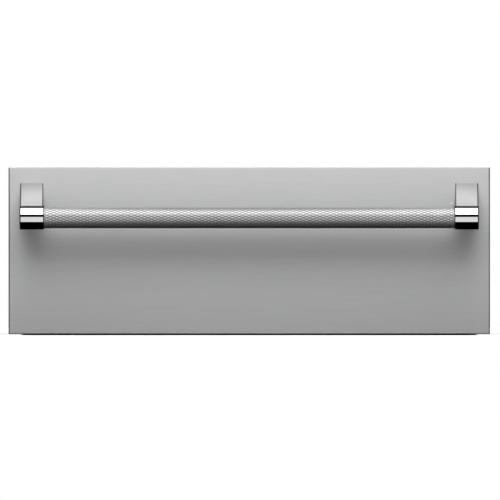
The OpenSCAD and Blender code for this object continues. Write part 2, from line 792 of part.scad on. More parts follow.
// The bushing that grips the supply cable, with its nut inside
module cable_gland() color("black") {
    y = [rear_in_y - gland_inside, rear_y + gland_flange + gland_dome];
    difference() {
        union() {
            rod_y(gland_x, gland_z(), gland_d, y);
            rod_y(gland_x, gland_z(), gland_flange_d, [rear_y, rear_y + gland_flange]);
        }
        rod_y(gland_x, gland_z(), gland_bore_d, [y[0] - 1, y[1] + 1]);
    }
    difference() {
        translate([gland_x, rear_in_y - gland_nut_t, gland_z()]) rotate([-90, 0, 0])
            cylinder(h = gland_nut_t, d = gland_nut_d, $fn = 6);
        rod_y(gland_x, gland_z(), gland_d + fit, [rear_in_y - gland_nut_t - 1, rear_in_y + 1]);
    }
}

lead_z = pcb_top_z + plug_h / 2;
lead_d = 3;
lead_pitch = 6;

// Three insulated leads from the terminal block to the board's power plug
module mains_leads() color("saddlebrown") for (i = [0 : 2]) {
    x = pole_x(i);
    end_x = pcb_x[0] + plug_x[0] + (i + 1) * lead_pitch;
    turn_y = block_y[0] - (3 - i) * lead_pitch;
    wire([[x, block_y[0] + block_edge, lead_z], [x, turn_y, lead_z], [end_x, turn_y, lead_z],
          [end_x, plug_end_y, lead_z]], lead_d, lead_bend);
}

// A push-on receptacle between a tab's end and the lead that comes down behind it
module receptacle(x, y, z) block([x - 3.5, x + 3.5], y, [z - 2, z + 2]);

// Glass-sleeved leads from the board to the element, one of them by way of the cutout
module heater_leads() color("whitesmoke") {
    bend = lead_bend + 1;
    plug = pcb_x[0] + plug_x[1];
    down_y = wool_back_y + 16;
    low_z = element_z + 40;
    cutout_xs = [cutout_x - cutout_tab, cutout_x + cutout_tab];
    wire([[plug + 6, plug_end_y, lead_z], [plug + 6, wool_back_y - 8, lead_z],
          [-element_x, wool_back_y - 8, lead_z], [-element_x, down_y, lead_z],
          [-element_x, down_y, element_z]], lead_d, bend);
    wire([[plug + 18, plug_end_y, lead_z], [plug + 18, wool_back_y - 20, lead_z],
          [cutout_xs[0], wool_back_y - 20, lead_z], [cutout_xs[0], down_y, lead_z],
          [cutout_xs[0], down_y, cutout_z]], lead_d, bend);
    wire([[cutout_xs[1], down_y, cutout_z], [cutout_xs[1], down_y, low_z],
          [element_x, down_y, low_z], [element_x, down_y, element_z]], lead_d, bend);
    both_sides() receptacle(element_x, [element_end_y + tab_len, down_y], element_z);
    for (x = cutout_xs) receptacle(x, [wool_back_y + tab_len, down_y], cutout_z);
}

// A flat ribbon from the display board back to the control board's header
module ribbon_cable() color("lightgrey")
    block([ribbon_x - header_w / 2 + 2, ribbon_x + header_w / 2 - 2], [header_y, pcb_y[0]],
          [fascia_mid_z - 0.5, fascia_mid_z + 0.5]);

// ---- Controls ----

boss_xs = [board_in_x + 8, button_x0 + 5 * button_pitch, board_out_x - 40];

// The fascia fills its opening in the frame, with a flange and bosses behind
module control_fascia() color("black") difference() {
    union() {
        block([-fascia_w / 2 + fit, fascia_w / 2 - fit], [frame_y, fascia_back_y],
              [fascia_z + fit, fascia_top_z - fit]);
        block([-fascia_w / 2 - fascia_lip, fascia_w / 2 + fascia_lip], [frame_back_y, fascia_back_y],
              [fascia_z - fascia_lip, fascia_top_z + fascia_lip]);
        for (x = boss_xs, z = [-1, 1])
            rod_y(x, fascia_mid_z + z * (board_h / 2 - board_margin), boss_d, [frame_back_y, board_y]);
    }
    for (i = [0 : 4]) rod_y(button_x0 + i * button_pitch, fascia_mid_z, button_hole_d,
                            [frame_y - 1, fascia_back_y + 1]);
    window_cut(0);
    rod_y(pipe_x, pipe_z, pipe_d + 2 * fit, [frame_y - 1, fascia_back_y + 1]);
}

// The stepped opening for the display window, grown or shrunk by a clearance
module window_cut(less) {
    w = window_w / 2 - less;
    h = window_h / 2 - less;
    round_plate([window_x - w, window_x + w], [fascia_mid_z - h, fascia_mid_z + h], 2 - less,
                [frame_y - (less > 0 ? 0 : 1), fascia_back_y + (less > 0 ? 0 : 1)]);
}

module display_window() color("darkslategray") window_cut(fit);

// The board behind the fascia, with the display and one switch behind each button
module display_board() color("darkgreen") {
    block([board_in_x, board_out_x], [board_y, board_y + board_t],
          [fascia_mid_z - board_h / 2, fascia_mid_z + board_h / 2]);
    for (i = [0 : 4]) {
        x = button_x0 + i * button_pitch;
        block([x - 3, x + 3], [switch_y, board_y], [fascia_mid_z - 3, fascia_mid_z + 3]);
    }
    block([ribbon_x - header_w / 2, ribbon_x + header_w / 2], [board_y + board_t, header_y],
          [fascia_mid_z - 4, fascia_mid_z + 4]);
    block([window_x - window_w / 2 + 8, window_x + window_w / 2 - 8], [fascia_back_y + fit, board_y],
          [fascia_mid_z - window_h / 2 + 2, fascia_mid_z + window_h / 2 - 2]);
}

module indicator_led() color("red") {
    rod_y(pipe_x, pipe_z, pipe_d, [frame_y - 1, fascia_back_y + 2]);
    for (x = [-0.7, 0.7]) rod_y(pipe_x + x, pipe_z, 0.5, [fascia_back_y + 1.5, board_y]);
}

// A round button with a flange that keeps it in the fascia and a stem to its switch
module button(place) color("dimgray") {
    x = button_x0 + place * button_pitch;
    flange_y = fascia_back_y + run;
    rod_y(x, fascia_mid_z, button_d, [frame_y - button_proud, flange_y + button_flange_t]);
    rod_y(x, fascia_mid_z, button_flange_d, [flange_y, flange_y + button_flange_t]);
    rod_y(x, fascia_mid_z, button_stem_d, [flange_y, flange_y + button_flange_t + button_stem]);
}

module power_button() button(0);
module low_button() button(1);
module medium_button() button(2);
module high_button() button(3);
module timer_button() button(4);

// ---- Slides ----

// A length of slide section: a (from the wall) and v (from mid height) boxes pushed along Y
module section(a, v, y) block([cavity_x - a[1], cavity_x - a[0]], y, [slide_z + v[0], slide_z + v[1]]);

// A channel: a web and two flanges
module channel(web, flange_end, v, y) {
    section(web, [-v, v], y);
    for (s = [-1, 1]) section([min(web[0], flange_end), max(web[1], flange_end)],
                              s > 0 ? [v - gauge, v] : [-v, -v + gauge], y);
}

slide_span = [slide_y, slide_y + slide_len];

// The member fixed to the cavity's wall, with lips that keep the balls in
module outer_slide(left) color("lightgrey") on_side(left) {
    end = slide_t - 1.5;
    channel([0, gauge], end, slide_h / 2, slide_span);
    for (s = [-1, 1]) section([end - gauge, end], s > 0 ? [outer_flange_v - 1.6, outer_flange_v + 0.1]
                              : [-outer_flange_v - 0.1, -outer_flange_v + 1.6], slide_span);
}

// The member between, which moves half as far as the drawer
module middle_slide(left) color("silver") on_side(left)
    channel([middle_a, middle_a + gauge], slide_t - 2, middle_v, slide_span);

// The member fixed to the drawer's rail
module inner_slide(left) color("lightgrey") on_side(left)
    channel([slide_t - gauge, slide_t], inner_flange_a, inner_v, slide_span);

// A ball cage: a folded strip with two rows of balls
module cage(left, web_a, ball_a, ball_v, ball_d) on_side(left) {
    strip_end = ball_a + ball_d / 2 + 0.5;
    span = [cage_y, cage_y + cage_len];
    pitch = cage_len / balls_per_row;
    color("peru") difference() {
        union() {
            section([web_a, web_a + cage_t], [-ball_v, ball_v], span);
            for (v = [-ball_v, ball_v]) section([web_a, strip_end], [v - cage_t / 2, v + cage_t / 2], span);
        }
        for (i = [0 : balls_per_row - 1], s = [-1, 1])
            translate([cavity_x - ball_a, cage_y + (i + 0.5) * pitch, slide_z + s * ball_v])
                cylinder(h = 3, d = ball_d + 0.1, center = true);
    }
    color("white") for (i = [0 : balls_per_row - 1], s = [-1, 1])
        translate([cavity_x - ball_a, cage_y + (i + 0.5) * pitch, slide_z + s * ball_v]) sphere(d = ball_d);
}

module outer_cage(left) cage(left, outer_cage_a, outer_ball_a, outer_ball_v, outer_ball_d);
module inner_cage(left) cage(left, inner_cage_a, inner_ball_a, inner_ball_v, inner_ball_d);

// ---- Drawer front ----

// A slab with its four front edges rounded, from its front face back
module soft_slab(x, z, y, r) {
    block([-x, x], [y[0] + r, y[1]], z);
    block([-x + r, x - r], [y[0], y[1]], [z[0] + r, z[1] - r]);
    for (cz = [z[0] + r, z[1] - r]) rod_x(y[0] + r, cz, 2 * r, [-x + r, x - r]);
    for (cx = [-x + r, x - r]) {
        translate([cx, y[0] + r, z[0] + r]) cylinder(h = z[1] - z[0] - 2 * r, r = r);
        for (cz = [z[0] + r, z[1] - r]) translate([cx, y[0] + r, cz]) sphere(r);
    }
}

skin_back_y = inner_y - inner_t;
post_mid_x = handle_w / 2 - post_w / 2;
neck_top_z = bar_z + cap_d / 2 - neck_step;
handle_screw_z = neck_top_z - neck_t / 2;
handle_screw_xs = [for (s = [-1, 1]) post_mid_x + s * handle_screw_gap / 2];
panel_edge = 3;
panel_x = front_w / 2 - panel_edge;
panel_z = [base_z + panel_edge, front_top_z - panel_edge];
lip_mid = (panel_edge + skin_t + skin_lip) / 2 + 1;

function panel_screws() = [for (x = [-1, -0.5, 0, 0.5, 1], z = [base_z + lip_mid, front_top_z - lip_mid])
                           [x * (front_w / 2 - lip_mid), z]];

// The brushed skin, folded back round its edges and in again behind
module front_skin() color("silver") difference() {
    soft_slab(front_w / 2, [base_z, front_top_z], [front_y, skin_back_y], skin_edge_r);
    block([-front_w / 2 + skin_t, front_w / 2 - skin_t], [front_y + skin_t, skin_back_y - skin_t],
          [base_z + skin_t, front_top_z - skin_t]);
    block([-front_w / 2 + skin_t + skin_lip, front_w / 2 - skin_t - skin_lip],
          [skin_back_y - skin_t - 1, skin_back_y + 1],
          [base_z + skin_t + skin_lip, front_top_z - skin_t - skin_lip]);
    both_sides() for (x = handle_screw_xs)
        rod_y(x, handle_screw_z, handle_screw_d + fit, [front_y - 1, front_y + skin_t + 1]);
    rod_y(pipe_x, pipe_z, pipe_d + fit, [front_y - 1, front_y + skin_t + 1]);
    for (p = panel_screws()) rod_y(p.x, p.y, screw_d + fit, [skin_back_y - skin_t - 1, skin_back_y + 1]);
}

// The moisture slots, along X from the middle, moved by the shift given
module vent_row(shift, y) for (i = [0 : vent_slots - 1]) {
    x = (i - (vent_slots - 1) / 2) * vent_pitch + shift;
    block([x - vent_slot_w / 2, x + vent_slot_w / 2], y,
          [vent_z - vent_slot_h / 2, vent_z + vent_slot_h / 2]);
}

outlet_z = front_top_z - skin_t - skin_lip - 8;

module front_inner_panel() color("gainsboro") difference() {
    block([-panel_x, panel_x], [skin_back_y, inner_y], panel_z);
    for (p = panel_screws()) rod_y(p.x, p.y, screw_d + fit, [skin_back_y - 1, inner_y + 1]);
    rod_y(pipe_x, pipe_z, pipe_d + fit, [skin_back_y - 1, inner_y + 1]);
    vent_row(0, [skin_back_y - 1, inner_y + 1]);
    translate([0, 0, outlet_z - vent_z]) vent_row(0, [skin_back_y - 1, inner_y + 1]);
    both_sides() {
        rod_y(vent_pin_x, vent_z, vent_pin_d + fit, [skin_back_y - 1, inner_y + 1]);
        for (z = rail_screw_zs) rod_y(rail_screw_x, z, screw_d + fit, [skin_back_y - 1, inner_y + 1]);
    }
}

// The slab inside the front, cut clear of the handle's screws, the light pipe and the vent's way up
module front_insulation() color("khaki") {
    clear = 4;
    x = front_w / 2 - skin_t - clear;
    z = [base_z + skin_t + clear, front_top_z - skin_t - clear];
    y = [front_y + skin_t + fit, skin_back_y - skin_t - fit];
    difference() {
        block([-x, x], y, z);
        both_sides() for (s = handle_screw_xs)
            rod_y(s, handle_screw_z, 3 * handle_screw_d, [y[0] - 1, y[0] + handle_screw_d]);
        rod_y(pipe_x, pipe_z, 3 * pipe_d, [y[0] - 1, y[1] + 1]);
        block([-vent_plate_x, vent_plate_x], [y[1] - 9, y[1] + 1],
              [vent_z - vent_plate_h / 2 - 2, outlet_z + vent_slot_h]);
        both_sides() for (s = rail_screw_zs) rod_y(rail_screw_x, s, 2 * screw_d, [y[1] - 8, y[1] + 1]);
        for (p = panel_screws()) rod_y(p.x, p.y, 2 * screw_d, [y[1] - 8, y[1] + 1]);
    }
}

// ---- Handle ----

cap_r = cap_d / 2;

module handle_bar() color("silver") {
    x = handle_w / 2 - cap_end - fit;
    difference() {
        rod_x(front_y - bar_reach, bar_z, bar_d, [-x, x]);
        rod_x(front_y - bar_reach, bar_z, bar_d - 2 * bar_wall, [-x - 1, x + 1]);
    }
}

// A post's side view: distance out from the skin along x, height from the bar's axis along y
module post_outline() {
    neck_top = cap_r - neck_step;
    neck_low = neck_top - neck_t;
    rise = post_up - neck_top;
    drop = post_down + neck_low;
    difference() {
        union() {
            translate([0, neck_low]) square([bar_reach, neck_t]);
            translate([0, neck_top - 1]) square([rise, rise + 1]);
            translate([0, -post_down]) square([drop, drop + 1]);
        }
        translate([rise, post_up]) circle(rise);
        translate([drop, -post_down]) circle(drop);
        translate([bar_reach, 0]) circle(cap_r + fit / 4);
    }
}

module handle_post(left) color("silver") on_side(left) difference() {
    translate([post_mid_x, front_y, bar_z]) rotate([90, 0, -90])
        linear_extrude(post_w, center = true) post_outline();
    for (x = handle_screw_xs)
        rod_y(x, handle_screw_z, handle_screw_d + fit / 2, [front_y - handle_screw_len - 1, front_y + 1]);
}

// A polished cup over the bar's end, with rounded edges
module end_cap(left) color("white") on_side(left)
    translate([handle_w / 2 - cap_len, front_y - bar_reach, bar_z]) rotate([0, 90, 0]) rotate_extrude()
        difference() {
            union() {
                translate([0, cap_edge_r]) square([cap_r, cap_len - cap_edge_r - cap_rim_r]);
                square([cap_r - cap_edge_r, cap_len]);
                translate([0, cap_len / 2]) square([cap_r - cap_rim_r, cap_len / 2]);
                translate([cap_r - cap_edge_r, cap_edge_r]) circle(cap_edge_r);
                translate([cap_r - cap_rim_r, cap_len - cap_rim_r]) circle(cap_rim_r);
            }
            translate([-1, -1]) square([bar_d / 2 + fit / 4 + 1, cap_len - cap_end + 1]);
            translate([-cap_d, 0]) square([cap_d, cap_len]);
        }

module handle_screws() color("dimgray") both_sides() for (x = handle_screw_xs)
    translate([x, front_y + skin_t, handle_screw_z]) rotate([-90, 0, 0])
        screw(handle_screw_d * 1.9, handle_screw_d * 0.6, handle_screw_d, skin_t + handle_screw_len);

// The clear rod that carries the lamp's light to the skin
module light_pipe() color("lightpink") {
    rod_y(pipe_x, pipe_z, pipe_d, [front_y - 0.3, inner_y + 0.5]);
    rod_y(pipe_x, pipe_z, 2 * pipe_d, [front_y + skin_t, front_y + skin_t + 2]);
}

// ---- Drawer ----

rail_screw_x = rail_x - rail_t - rail_foot / 2;
rail_screw_zs = [rail_low_z + 12, rail_top_z - 14];

// A folded rail: web on the slide, flange under the pan's rim, foot on the inner panel
module rail(left) color("silver") on_side(left) difference() {
    union() {
        block([rail_x - rail_t, rail_x], [inner_y, rail_end_y], [rail_low_z, rail_top_z]);
        block([rail_x - rail_flange, rail_x], [inner_y, rail_end_y], [rail_top_z - rail_t, rail_top_z]);
        block([rail_x - rail_t - rail_foot, rail_x], [inner_y, inner_y + rail_t], [rail_low_z, rail_top_z]);
    }
    for (z = rail_screw_zs) rod_y(rail_screw_x, z, screw_d + fit, [inner_y - 1, inner_y + rail_t + 1]);
}

// The angle that ties the rails together behind the pan
module rear_crossbar() color("silver") {
    y = pan_y + pan_d + crossbar_gap;
    x = rail_x - rail_t - fit;
    top = rail_top_z - rail_t - fit;
    block([-x, x], [y, y + rail_t], [top - crossbar_h, top]);
    both_sides() block([x - rail_t, x], [y, rail_end_y], [top - crossbar_h, top]);
}

// A box with rounded upright corners and rounded lower edges, open to be cut at the top
module drawn_box(x, y, z, r) {
    block([x[0] + r, x[1] - r], [y[0] + r, y[1] - r], [z[0], z[1]]);
    block([x[0], x[1]], [y[0] + r, y[1] - r], [z[0] + r, z[1]]);
    block([x[0] + r, x[1] - r], [y[0], y[1]], [z[0] + r, z[1]]);
    for (cy = [y[0] + r, y[1] - r]) rod_x(cy, z[0] + r, 2 * r, [x[0] + r, x[1] - r]);
    for (cx = [x[0] + r, x[1] - r]) {
        rod_y(cx, z[0] + r, 2 * r, [y[0] + r, y[1] - r]);
        for (cy = [y[0] + r, y[1] - r]) translate([cx, cy, z[0] + r]) {
            sphere(r);
            cylinder(h = z[1] - z[0] - r, r = r);
        }
    }
}

// The drawn pan that hangs by its rim
module drawer_pan() color("silver") {
    x = pan_w / 2;
    y = [pan_y, pan_y + pan_d];
    top = pan_rim_z;
    difference() {
        union() {
            drawn_box([-x, x], y, [pan_low_z, top], pan_r);
            round_deck([-x - rim_w, x + rim_w], [y[0] - rim_w, y[1] + rim_w], pan_r, [top - pan_t, top]);
        }
        drawn_box([-x + pan_t, x - pan_t], [y[0] + pan_t, y[1] - pan_t], [rack_z, top + 1], pan_r - pan_t);
    }
}

// A loose rack of round wires that stands in the pan
module wire_rack() color("white") {
    x = pan_w / 2 - pan_r - rack_margin;
    y = [pan_y + pan_r + rack_margin, pan_y + pan_d - pan_r - rack_margin];
    frame_z = rack_z + rack_h - rack_rod / 2 - rack_wire / 2;
    turn_r = rack_turn_r;
    wires = floor((2 * x - 2 * turn_r) / rack_pitch);
    for (side = [-x, x]) rod_y(side, frame_z, rack_rod, [y[0] + turn_r, y[1] - turn_r]);
    for (side = y) rod_x(side, frame_z, rack_rod, [-x + turn_r, x - turn_r]);
    for (c = [[1, 1, 0], [-1, 1, 90], [-1, -1, 180], [1, -1, 270]])
        translate([c.x * (x - turn_r), c.y > 0 ? y[1] - turn_r : y[0] + turn_r, frame_z])
            rotate([0, 0, c.z]) rotate_extrude(angle = 90) translate([turn_r, 0]) circle(d = rack_rod);
    for (i = [0 : wires])
        rod_y((i - wires / 2) * rack_pitch, frame_z + rack_rod / 2, rack_wire, [y[0] - 1, y[1] + 1]);
    for (cx = [-1, 1] * (x - rack_leg_x), cy = y)
        translate([cx, cy, rack_z]) cylinder(h = frame_z - rack_z, d = rack_rod);
}

// The slotted shutter on the inner panel, with guide slots for its pins and a tab for a finger
module vent_slider() color("gainsboro") {
    y = [inner_y + run, inner_y + run + vent_plate_t];
    z = [vent_z - vent_plate_h / 2, vent_z + vent_plate_h / 2];
    middle = -vent_travel / 2;
    difference() {
        union() {
            block([middle - vent_plate_x, middle + vent_plate_x], y, z);
            block([middle - vent_tab_w / 2, middle + vent_tab_w / 2], [y[0], y[1] + vent_tab],
                  [z[0], z[0] + vent_tab_t]);
        }
        vent_row(-vent_travel, [y[0] - 1, y[1] + 1]);
        for (side = [-1, 1]) translate([side * vent_pin_x + middle, 0, vent_z])
            vent_slot(vent_guide_w, vent_pin_d + 2 * run, [y[0] - 1, y[1] + 1]);
    }
}

// The screws of the inner panel and of the rails, and the two headed pins of the vent's slider
module inner_panel_screws() color("dimgray") {
    for (p = panel_screws()) translate([p.x, inner_y, p.y]) rotate([-90, 0, 0])
        screw(screw_head_d, screw_head_h, screw_d, screw_len);
    both_sides() {
        for (z = rail_screw_zs) translate([rail_screw_x, inner_y + rail_t, z]) rotate([-90, 0, 0])
            screw(screw_head_d, screw_head_h, screw_d, screw_len);
        rod_y(vent_pin_x, vent_z, vent_pin_d, [skin_back_y, inner_y + 2 * run + vent_plate_t]);
        rod_y(vent_pin_x, vent_z, 2 * vent_pin_d, [inner_y + 2 * run + vent_plate_t,
                                                   inner_y + 2 * run + vent_plate_t + 1]);
    }
}

// ---- Fasteners and feet ----

// A case screw, in place and pointing to the back or to the side
module case_screw() screw(screw_head_d, screw_head_h, screw_d, screw_len);

module casing_screws() color("dimgray") {
    both_sides() for (y = side_screw_ys())
        translate([case_w / 2, y, base_z + fold / 2]) rotate([0, 90, 0]) case_screw();
    for (x = rear_screw_xs(), z = [base_z + fold / 2, case_top_z - rear_screw_in])
        translate([x, rear_y, z]) rotate([-90, 0, 0]) case_screw();
    both_sides() for (z = rear_side_zs())
        translate([case_w / 2 - rear_screw_in, rear_y, z]) rotate([-90, 0, 0]) case_screw();
    for (p = pcb_holes) translate([p.x, p.y, pcb_top_z])
        screw(5.5, 1.8, pcb_hole_d - fit / 2, screw_len + 2);
}

module rubber_feet() color("black") both_sides() for (y = foot_ys)
    translate([foot_x, y, 0]) {
        cylinder(h = 1, d1 = foot_d - 2, d2 = foot_d);
        translate([0, 0, 1]) cylinder(h = base_z + well_depth - 1, d = foot_d);
    }

base_pan();
outer_wrap();
rear_panel();
front_frame();
cavity_liner();
control_deck();
top_insulation();
bottom_insulation();
side_insulation();
rear_insulation();
heating_element();
element_brackets();
temperature_probe();
thermal_cutout();
control_board();
board_components();
terminal_block();
cable_gland();
mains_leads();
heater_leads();
control_fascia();
display_window();
display_board();
indicator_led();
outer_slide(true);  // left_outer_slide
outer_slide(false);  // right_outer_slide
cavity_seal();
casing_screws();
ribbon_cable();
rubber_feet();
power_button();
low_button();
medium_button();
high_button();
timer_button();
front_skin();
front_inner_panel();
front_insulation();
handle_bar();
handle_post(true);  // left_handle_post
handle_post(false);  // right_handle_post
end_cap(true);  // left_end_cap
end_cap(false);  // right_end_cap
handle_screws();
light_pipe();
drawer_pan();
rail(true);  // left_rail
rail(false);  // right_rail
rear_crossbar();
inner_slide(true);  // left_inner_slide
inner_slide(false);  // right_inner_slide
wire_rack();
inner_panel_screws();
vent_slider();
middle_slide(true);  // left_middle_slide
middle_slide(false);  // right_middle_slide
outer_cage(true);  // left_outer_cage
outer_cage(false);  // right_outer_cage
inner_cage(true);  // left_inner_cage
inner_cage(false);  // right_inner_cage
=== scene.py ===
"""The warming drawer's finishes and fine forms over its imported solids, and the studio that shows them."""

import json
import logging
import math
from collections.abc import Callable, Iterable, Sequence
from dataclasses import dataclass, replace
from enum import Enum

import bmesh
import bpy
from mathutils import Matrix, Vector, noise


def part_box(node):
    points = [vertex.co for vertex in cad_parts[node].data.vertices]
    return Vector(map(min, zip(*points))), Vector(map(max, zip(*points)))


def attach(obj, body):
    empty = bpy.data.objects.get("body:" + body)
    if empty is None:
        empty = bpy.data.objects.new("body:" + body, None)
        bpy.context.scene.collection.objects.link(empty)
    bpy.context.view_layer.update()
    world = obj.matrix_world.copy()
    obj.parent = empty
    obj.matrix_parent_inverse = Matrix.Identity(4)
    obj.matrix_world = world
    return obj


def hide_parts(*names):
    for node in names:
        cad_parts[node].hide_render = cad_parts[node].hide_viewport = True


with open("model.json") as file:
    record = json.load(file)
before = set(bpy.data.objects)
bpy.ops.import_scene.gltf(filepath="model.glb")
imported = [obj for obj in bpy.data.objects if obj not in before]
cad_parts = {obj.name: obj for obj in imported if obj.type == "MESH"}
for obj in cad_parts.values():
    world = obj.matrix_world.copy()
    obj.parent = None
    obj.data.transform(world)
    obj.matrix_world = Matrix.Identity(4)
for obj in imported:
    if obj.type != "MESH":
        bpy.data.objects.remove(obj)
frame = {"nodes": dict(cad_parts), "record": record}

LOG = logging.getLogger("warming_drawer")
MM = 0.001
MERGE = 0.001 * MM
FLAT = math.radians(0.5)
SMOOTH = 40.0
WHITE = (1, 1, 1, 1)
Span = tuple[float, float]
Triple = tuple[float, float, float]
Socket = bpy.types.NodeSocket
Sockets = bpy.types.bpy_prop_collection


class Axis(Enum):
    """A direction in the frame. X runs across the front, Y to the back and Z up."""

    X = 0
    Y = 1
    Z = 2

    @property
    def way(self) -> Vector:
        """Gives the axis as a vector of length 1."""
        return Vector([float(i == self.value) for i in range(3)])


class Side(Enum):
    """A side of the front, with its way along X."""

    LEFT = -1
    RIGHT = 1

    @property
    def word(self) -> str:
        """Gives the side as the names of nodes and pieces say it."""
        return self.name.lower()


# ---- Node trees ----


class Tree:
    """Short calls that add and join the nodes of one material, node group or world."""

    def __init__(self, tree: bpy.types.NodeTree) -> None:
        """Starts on a tree and clears it."""
        self.tree = tree
        tree.nodes.clear()

    def add(self, kind: str, inputs: dict | None = None, **settings: object) -> bpy.types.Node:
        """Adds one node.

        Args:
            kind: The node's type, without "ShaderNode" in front.
            inputs: A constant or an output socket for each input, by name or number.
            **settings: The node's own settings.

        Returns:
            The new node.
        """
        node = self.tree.nodes.new(kind if kind.startswith("Node") else "ShaderNode" + kind)
        for key, value in settings.items():
            setattr(node, key, value)
        for key, value in (inputs or {}).items():
            if isinstance(value, Socket):
                self.tree.links.new(value, node.inputs[key])
            else:
                node.inputs[key].default_value = value
        return node

    def place(self, scale: Sequence[float] = (1, 1, 1), turn: Sequence[float] = (0, 0, 0)) -> Socket:
        """Gives the object's own coordinates, turned, and scaled to so many repeats per metre."""
        coords = self.add("TexCoord").outputs["Object"]
        return self.add("Mapping", {"Vector": coords, "Scale": scale, "Rotation": turn}).outputs["Vector"]

    def calc(self, operation: str, *values: float | Socket, clamp: bool = False) -> Socket:
        """Gives the result of one step of arithmetic, kept from 0 to 1 where it is clamped."""
        return self.add("Math", dict(enumerate(values)), operation=operation, use_clamp=clamp).outputs[0]

    def vector(self, operation: str, *values: Sequence[float] | Socket) -> Sockets:
        """Gives the output sockets of one step of vector arithmetic."""
        return self.add("VectorMath", dict(enumerate(values)), operation=operation).outputs

    def clouds(self, vector: Socket, scale: float | Socket, detail: float,
               distortion: float = 0.0) -> Socket:
        """Gives a soft noise from 0 to 1, read at a vector."""
        return self.add("TexNoise", {"Vector": vector, "Scale": scale, "Detail": detail,
                                     "Distortion": distortion}).outputs[0]

    def blend(self, mask: Socket, first: Triple, second: Triple) -> Socket:
        """Mixes two colours by a mask that is 0 for the first and 1 for the second."""
        return self.add("Mix", {0: mask, 6: (*first, 1), 7: (*second, 1)}, data_type="RGBA").outputs[2]

    def between(self, share: float | Socket, first: Socket, second: Socket) -> Socket:
        """Mixes two values by a share that is 0 for the first and 1 for the second."""
        return self.add("Mix", {0: share, 2: first, 3: second}, data_type="FLOAT").outputs[0]

    def spread(self, value: Socket, low: float, high: float, start: float | Socket = 0.0,
               stop: float | Socket = 1.0) -> Socket:
        """Maps a value from the range of start to stop to the range of low to high."""
        return self.add("MapRange", {0: value, 1: start, 2: stop, 3: low, 4: high}).outputs[0]


# ---- Shared effects ----


@dataclass(frozen=True)
class Effect:
    """A node group that materials share: its name, its usual numbers and what makes its mask."""

    name: str
    numbers: dict[str, float]
    make: Callable[[Tree, Sockets], Socket]

    def group(self) -> bpy.types.NodeTree:
        """Builds the group on the first call. It takes a vector and the numbers, and puts out a mask.

        Returns:
            The node group.
        """
        found = bpy.data.node_groups.get(self.name)
        if found:
            return found
        group = bpy.data.node_groups.new(self.name, "ShaderNodeTree")
        face = group.interface
        face.new_socket("Vector", in_out="INPUT", socket_type="NodeSocketVector")
        for key, value in self.numbers.items():
            face.new_socket(key, in_out="INPUT", socket_type="NodeSocketFloat").default_value = value
        face.new_socket("Mask", in_out="OUTPUT", socket_type="NodeSocketFloat")
        tree = Tree(group)
        given = tree.add("NodeGroupInput").outputs
        tree.add("NodeGroupOutput", {"Mask": self.make(tree, given)})
        return group

    def on(self, tree: Tree, vector: Socket | None = None, **numbers: float) -> Socket:
        """Places the effect in a material.

        Args:
            tree: The material's tree.
            vector: The coordinates that it reads, or None for the object's own.
            **numbers: Its number inputs, with _ for a space.

        Returns:
            The effect's mask.
        """
        inputs = {key.replace("_", " "): value for key, value in numbers.items()}
        inputs["Vector"] = tree.place() if vector is None else vector
        return tree.add("Group", inputs, node_tree=self.group()).outputs["Mask"]


def line_grain(tree: Tree, given: Sockets) -> Socket:
    """Makes brushed lines: a coarse and a fine noise, stretched by the vector.

    Args:
        tree: The group's tree.
        given: The group's inputs.

    Returns:
        The mask.
    """
    coarse = tree.clouds(given["Vector"], scale=1.0, detail=2.0)
    finer = tree.add("VectorMath", {0: given["Vector"], "Scale": given["Fine"]}, operation="SCALE")
    fine = tree.clouds(finer.outputs[0], scale=1.0, detail=3.0)
    return tree.spread(tree.between(given["Fine Share"], coarse, fine), 0.0, 1.0, start=0.3, stop=0.7)


def smudge(tree: Tree, given: Sockets) -> Socket:
    """Makes soft, wide changes of gloss, as handling and cleaning leave them.

    Args:
        tree: The group's tree.
        given: The group's inputs.

    Returns:
        The mask.
    """
    clouds = tree.clouds(given["Vector"], given["Scale"], detail=4.0, distortion=0.6)
    low, high = (tree.calc(way, 0.5, given["Sharpness"]) for way in ("SUBTRACT", "ADD"))
    return tree.spread(clouds, 0.0, 1.0, low, high)


def fleck(tree: Tree, given: Sockets) -> Socket:
    """Makes the fine even grain of a moulded or coated surface.

    Args:
        tree: The group's tree.
        given: The group's inputs.

    Returns:
        The mask.
    """
    clouds = tree.clouds(given["Vector"], given["Scale"], detail=1.0)
    cells = tree.add("TexVoronoi", {"Vector": given["Vector"], "Scale": given["Scale"]}, feature="SMOOTH_F1")
    return tree.spread(tree.calc("MULTIPLY", clouds, cells.outputs["Distance"]), 0.0, 1.0, stop=0.5)


def spangle(tree: Tree, given: Sockets) -> Socket:
    """Makes the crystals of a zinc coat, flat patches that differ in shade.

    Args:
        tree: The group's tree.
        given: The group's inputs.

    Returns:
        The mask.
    """
    cells = tree.add("TexVoronoi", {"Vector": given["Vector"], "Scale": given["Scale"], "Randomness": 1.0})
    shade = tree.add("SeparateColor", {0: cells.outputs["Color"]}).outputs[0]
    return tree.between(share=0.35, first=shade, second=tree.clouds(given["Vector"], scale=6.0, detail=3.0))


def edge_band(tree: Tree, given: Sockets) -> Socket:
    """Makes the mask of painted edge shade: 0 inside and 1 past the given reach along two opposite edges.

    Args:
        tree: The group's tree.
        given: The group's inputs.

    Returns:
        The mask.
    """
    place = tree.vector("DOT_PRODUCT", given["Vector"], (1, 1, 1))["Value"]
    away = tree.calc("ABSOLUTE", tree.calc("SUBTRACT", place, given["Middle"]))
    return tree.calc("DIVIDE", tree.calc("SUBTRACT", away, given["Reach"]), given["Fade"], clamp=True)


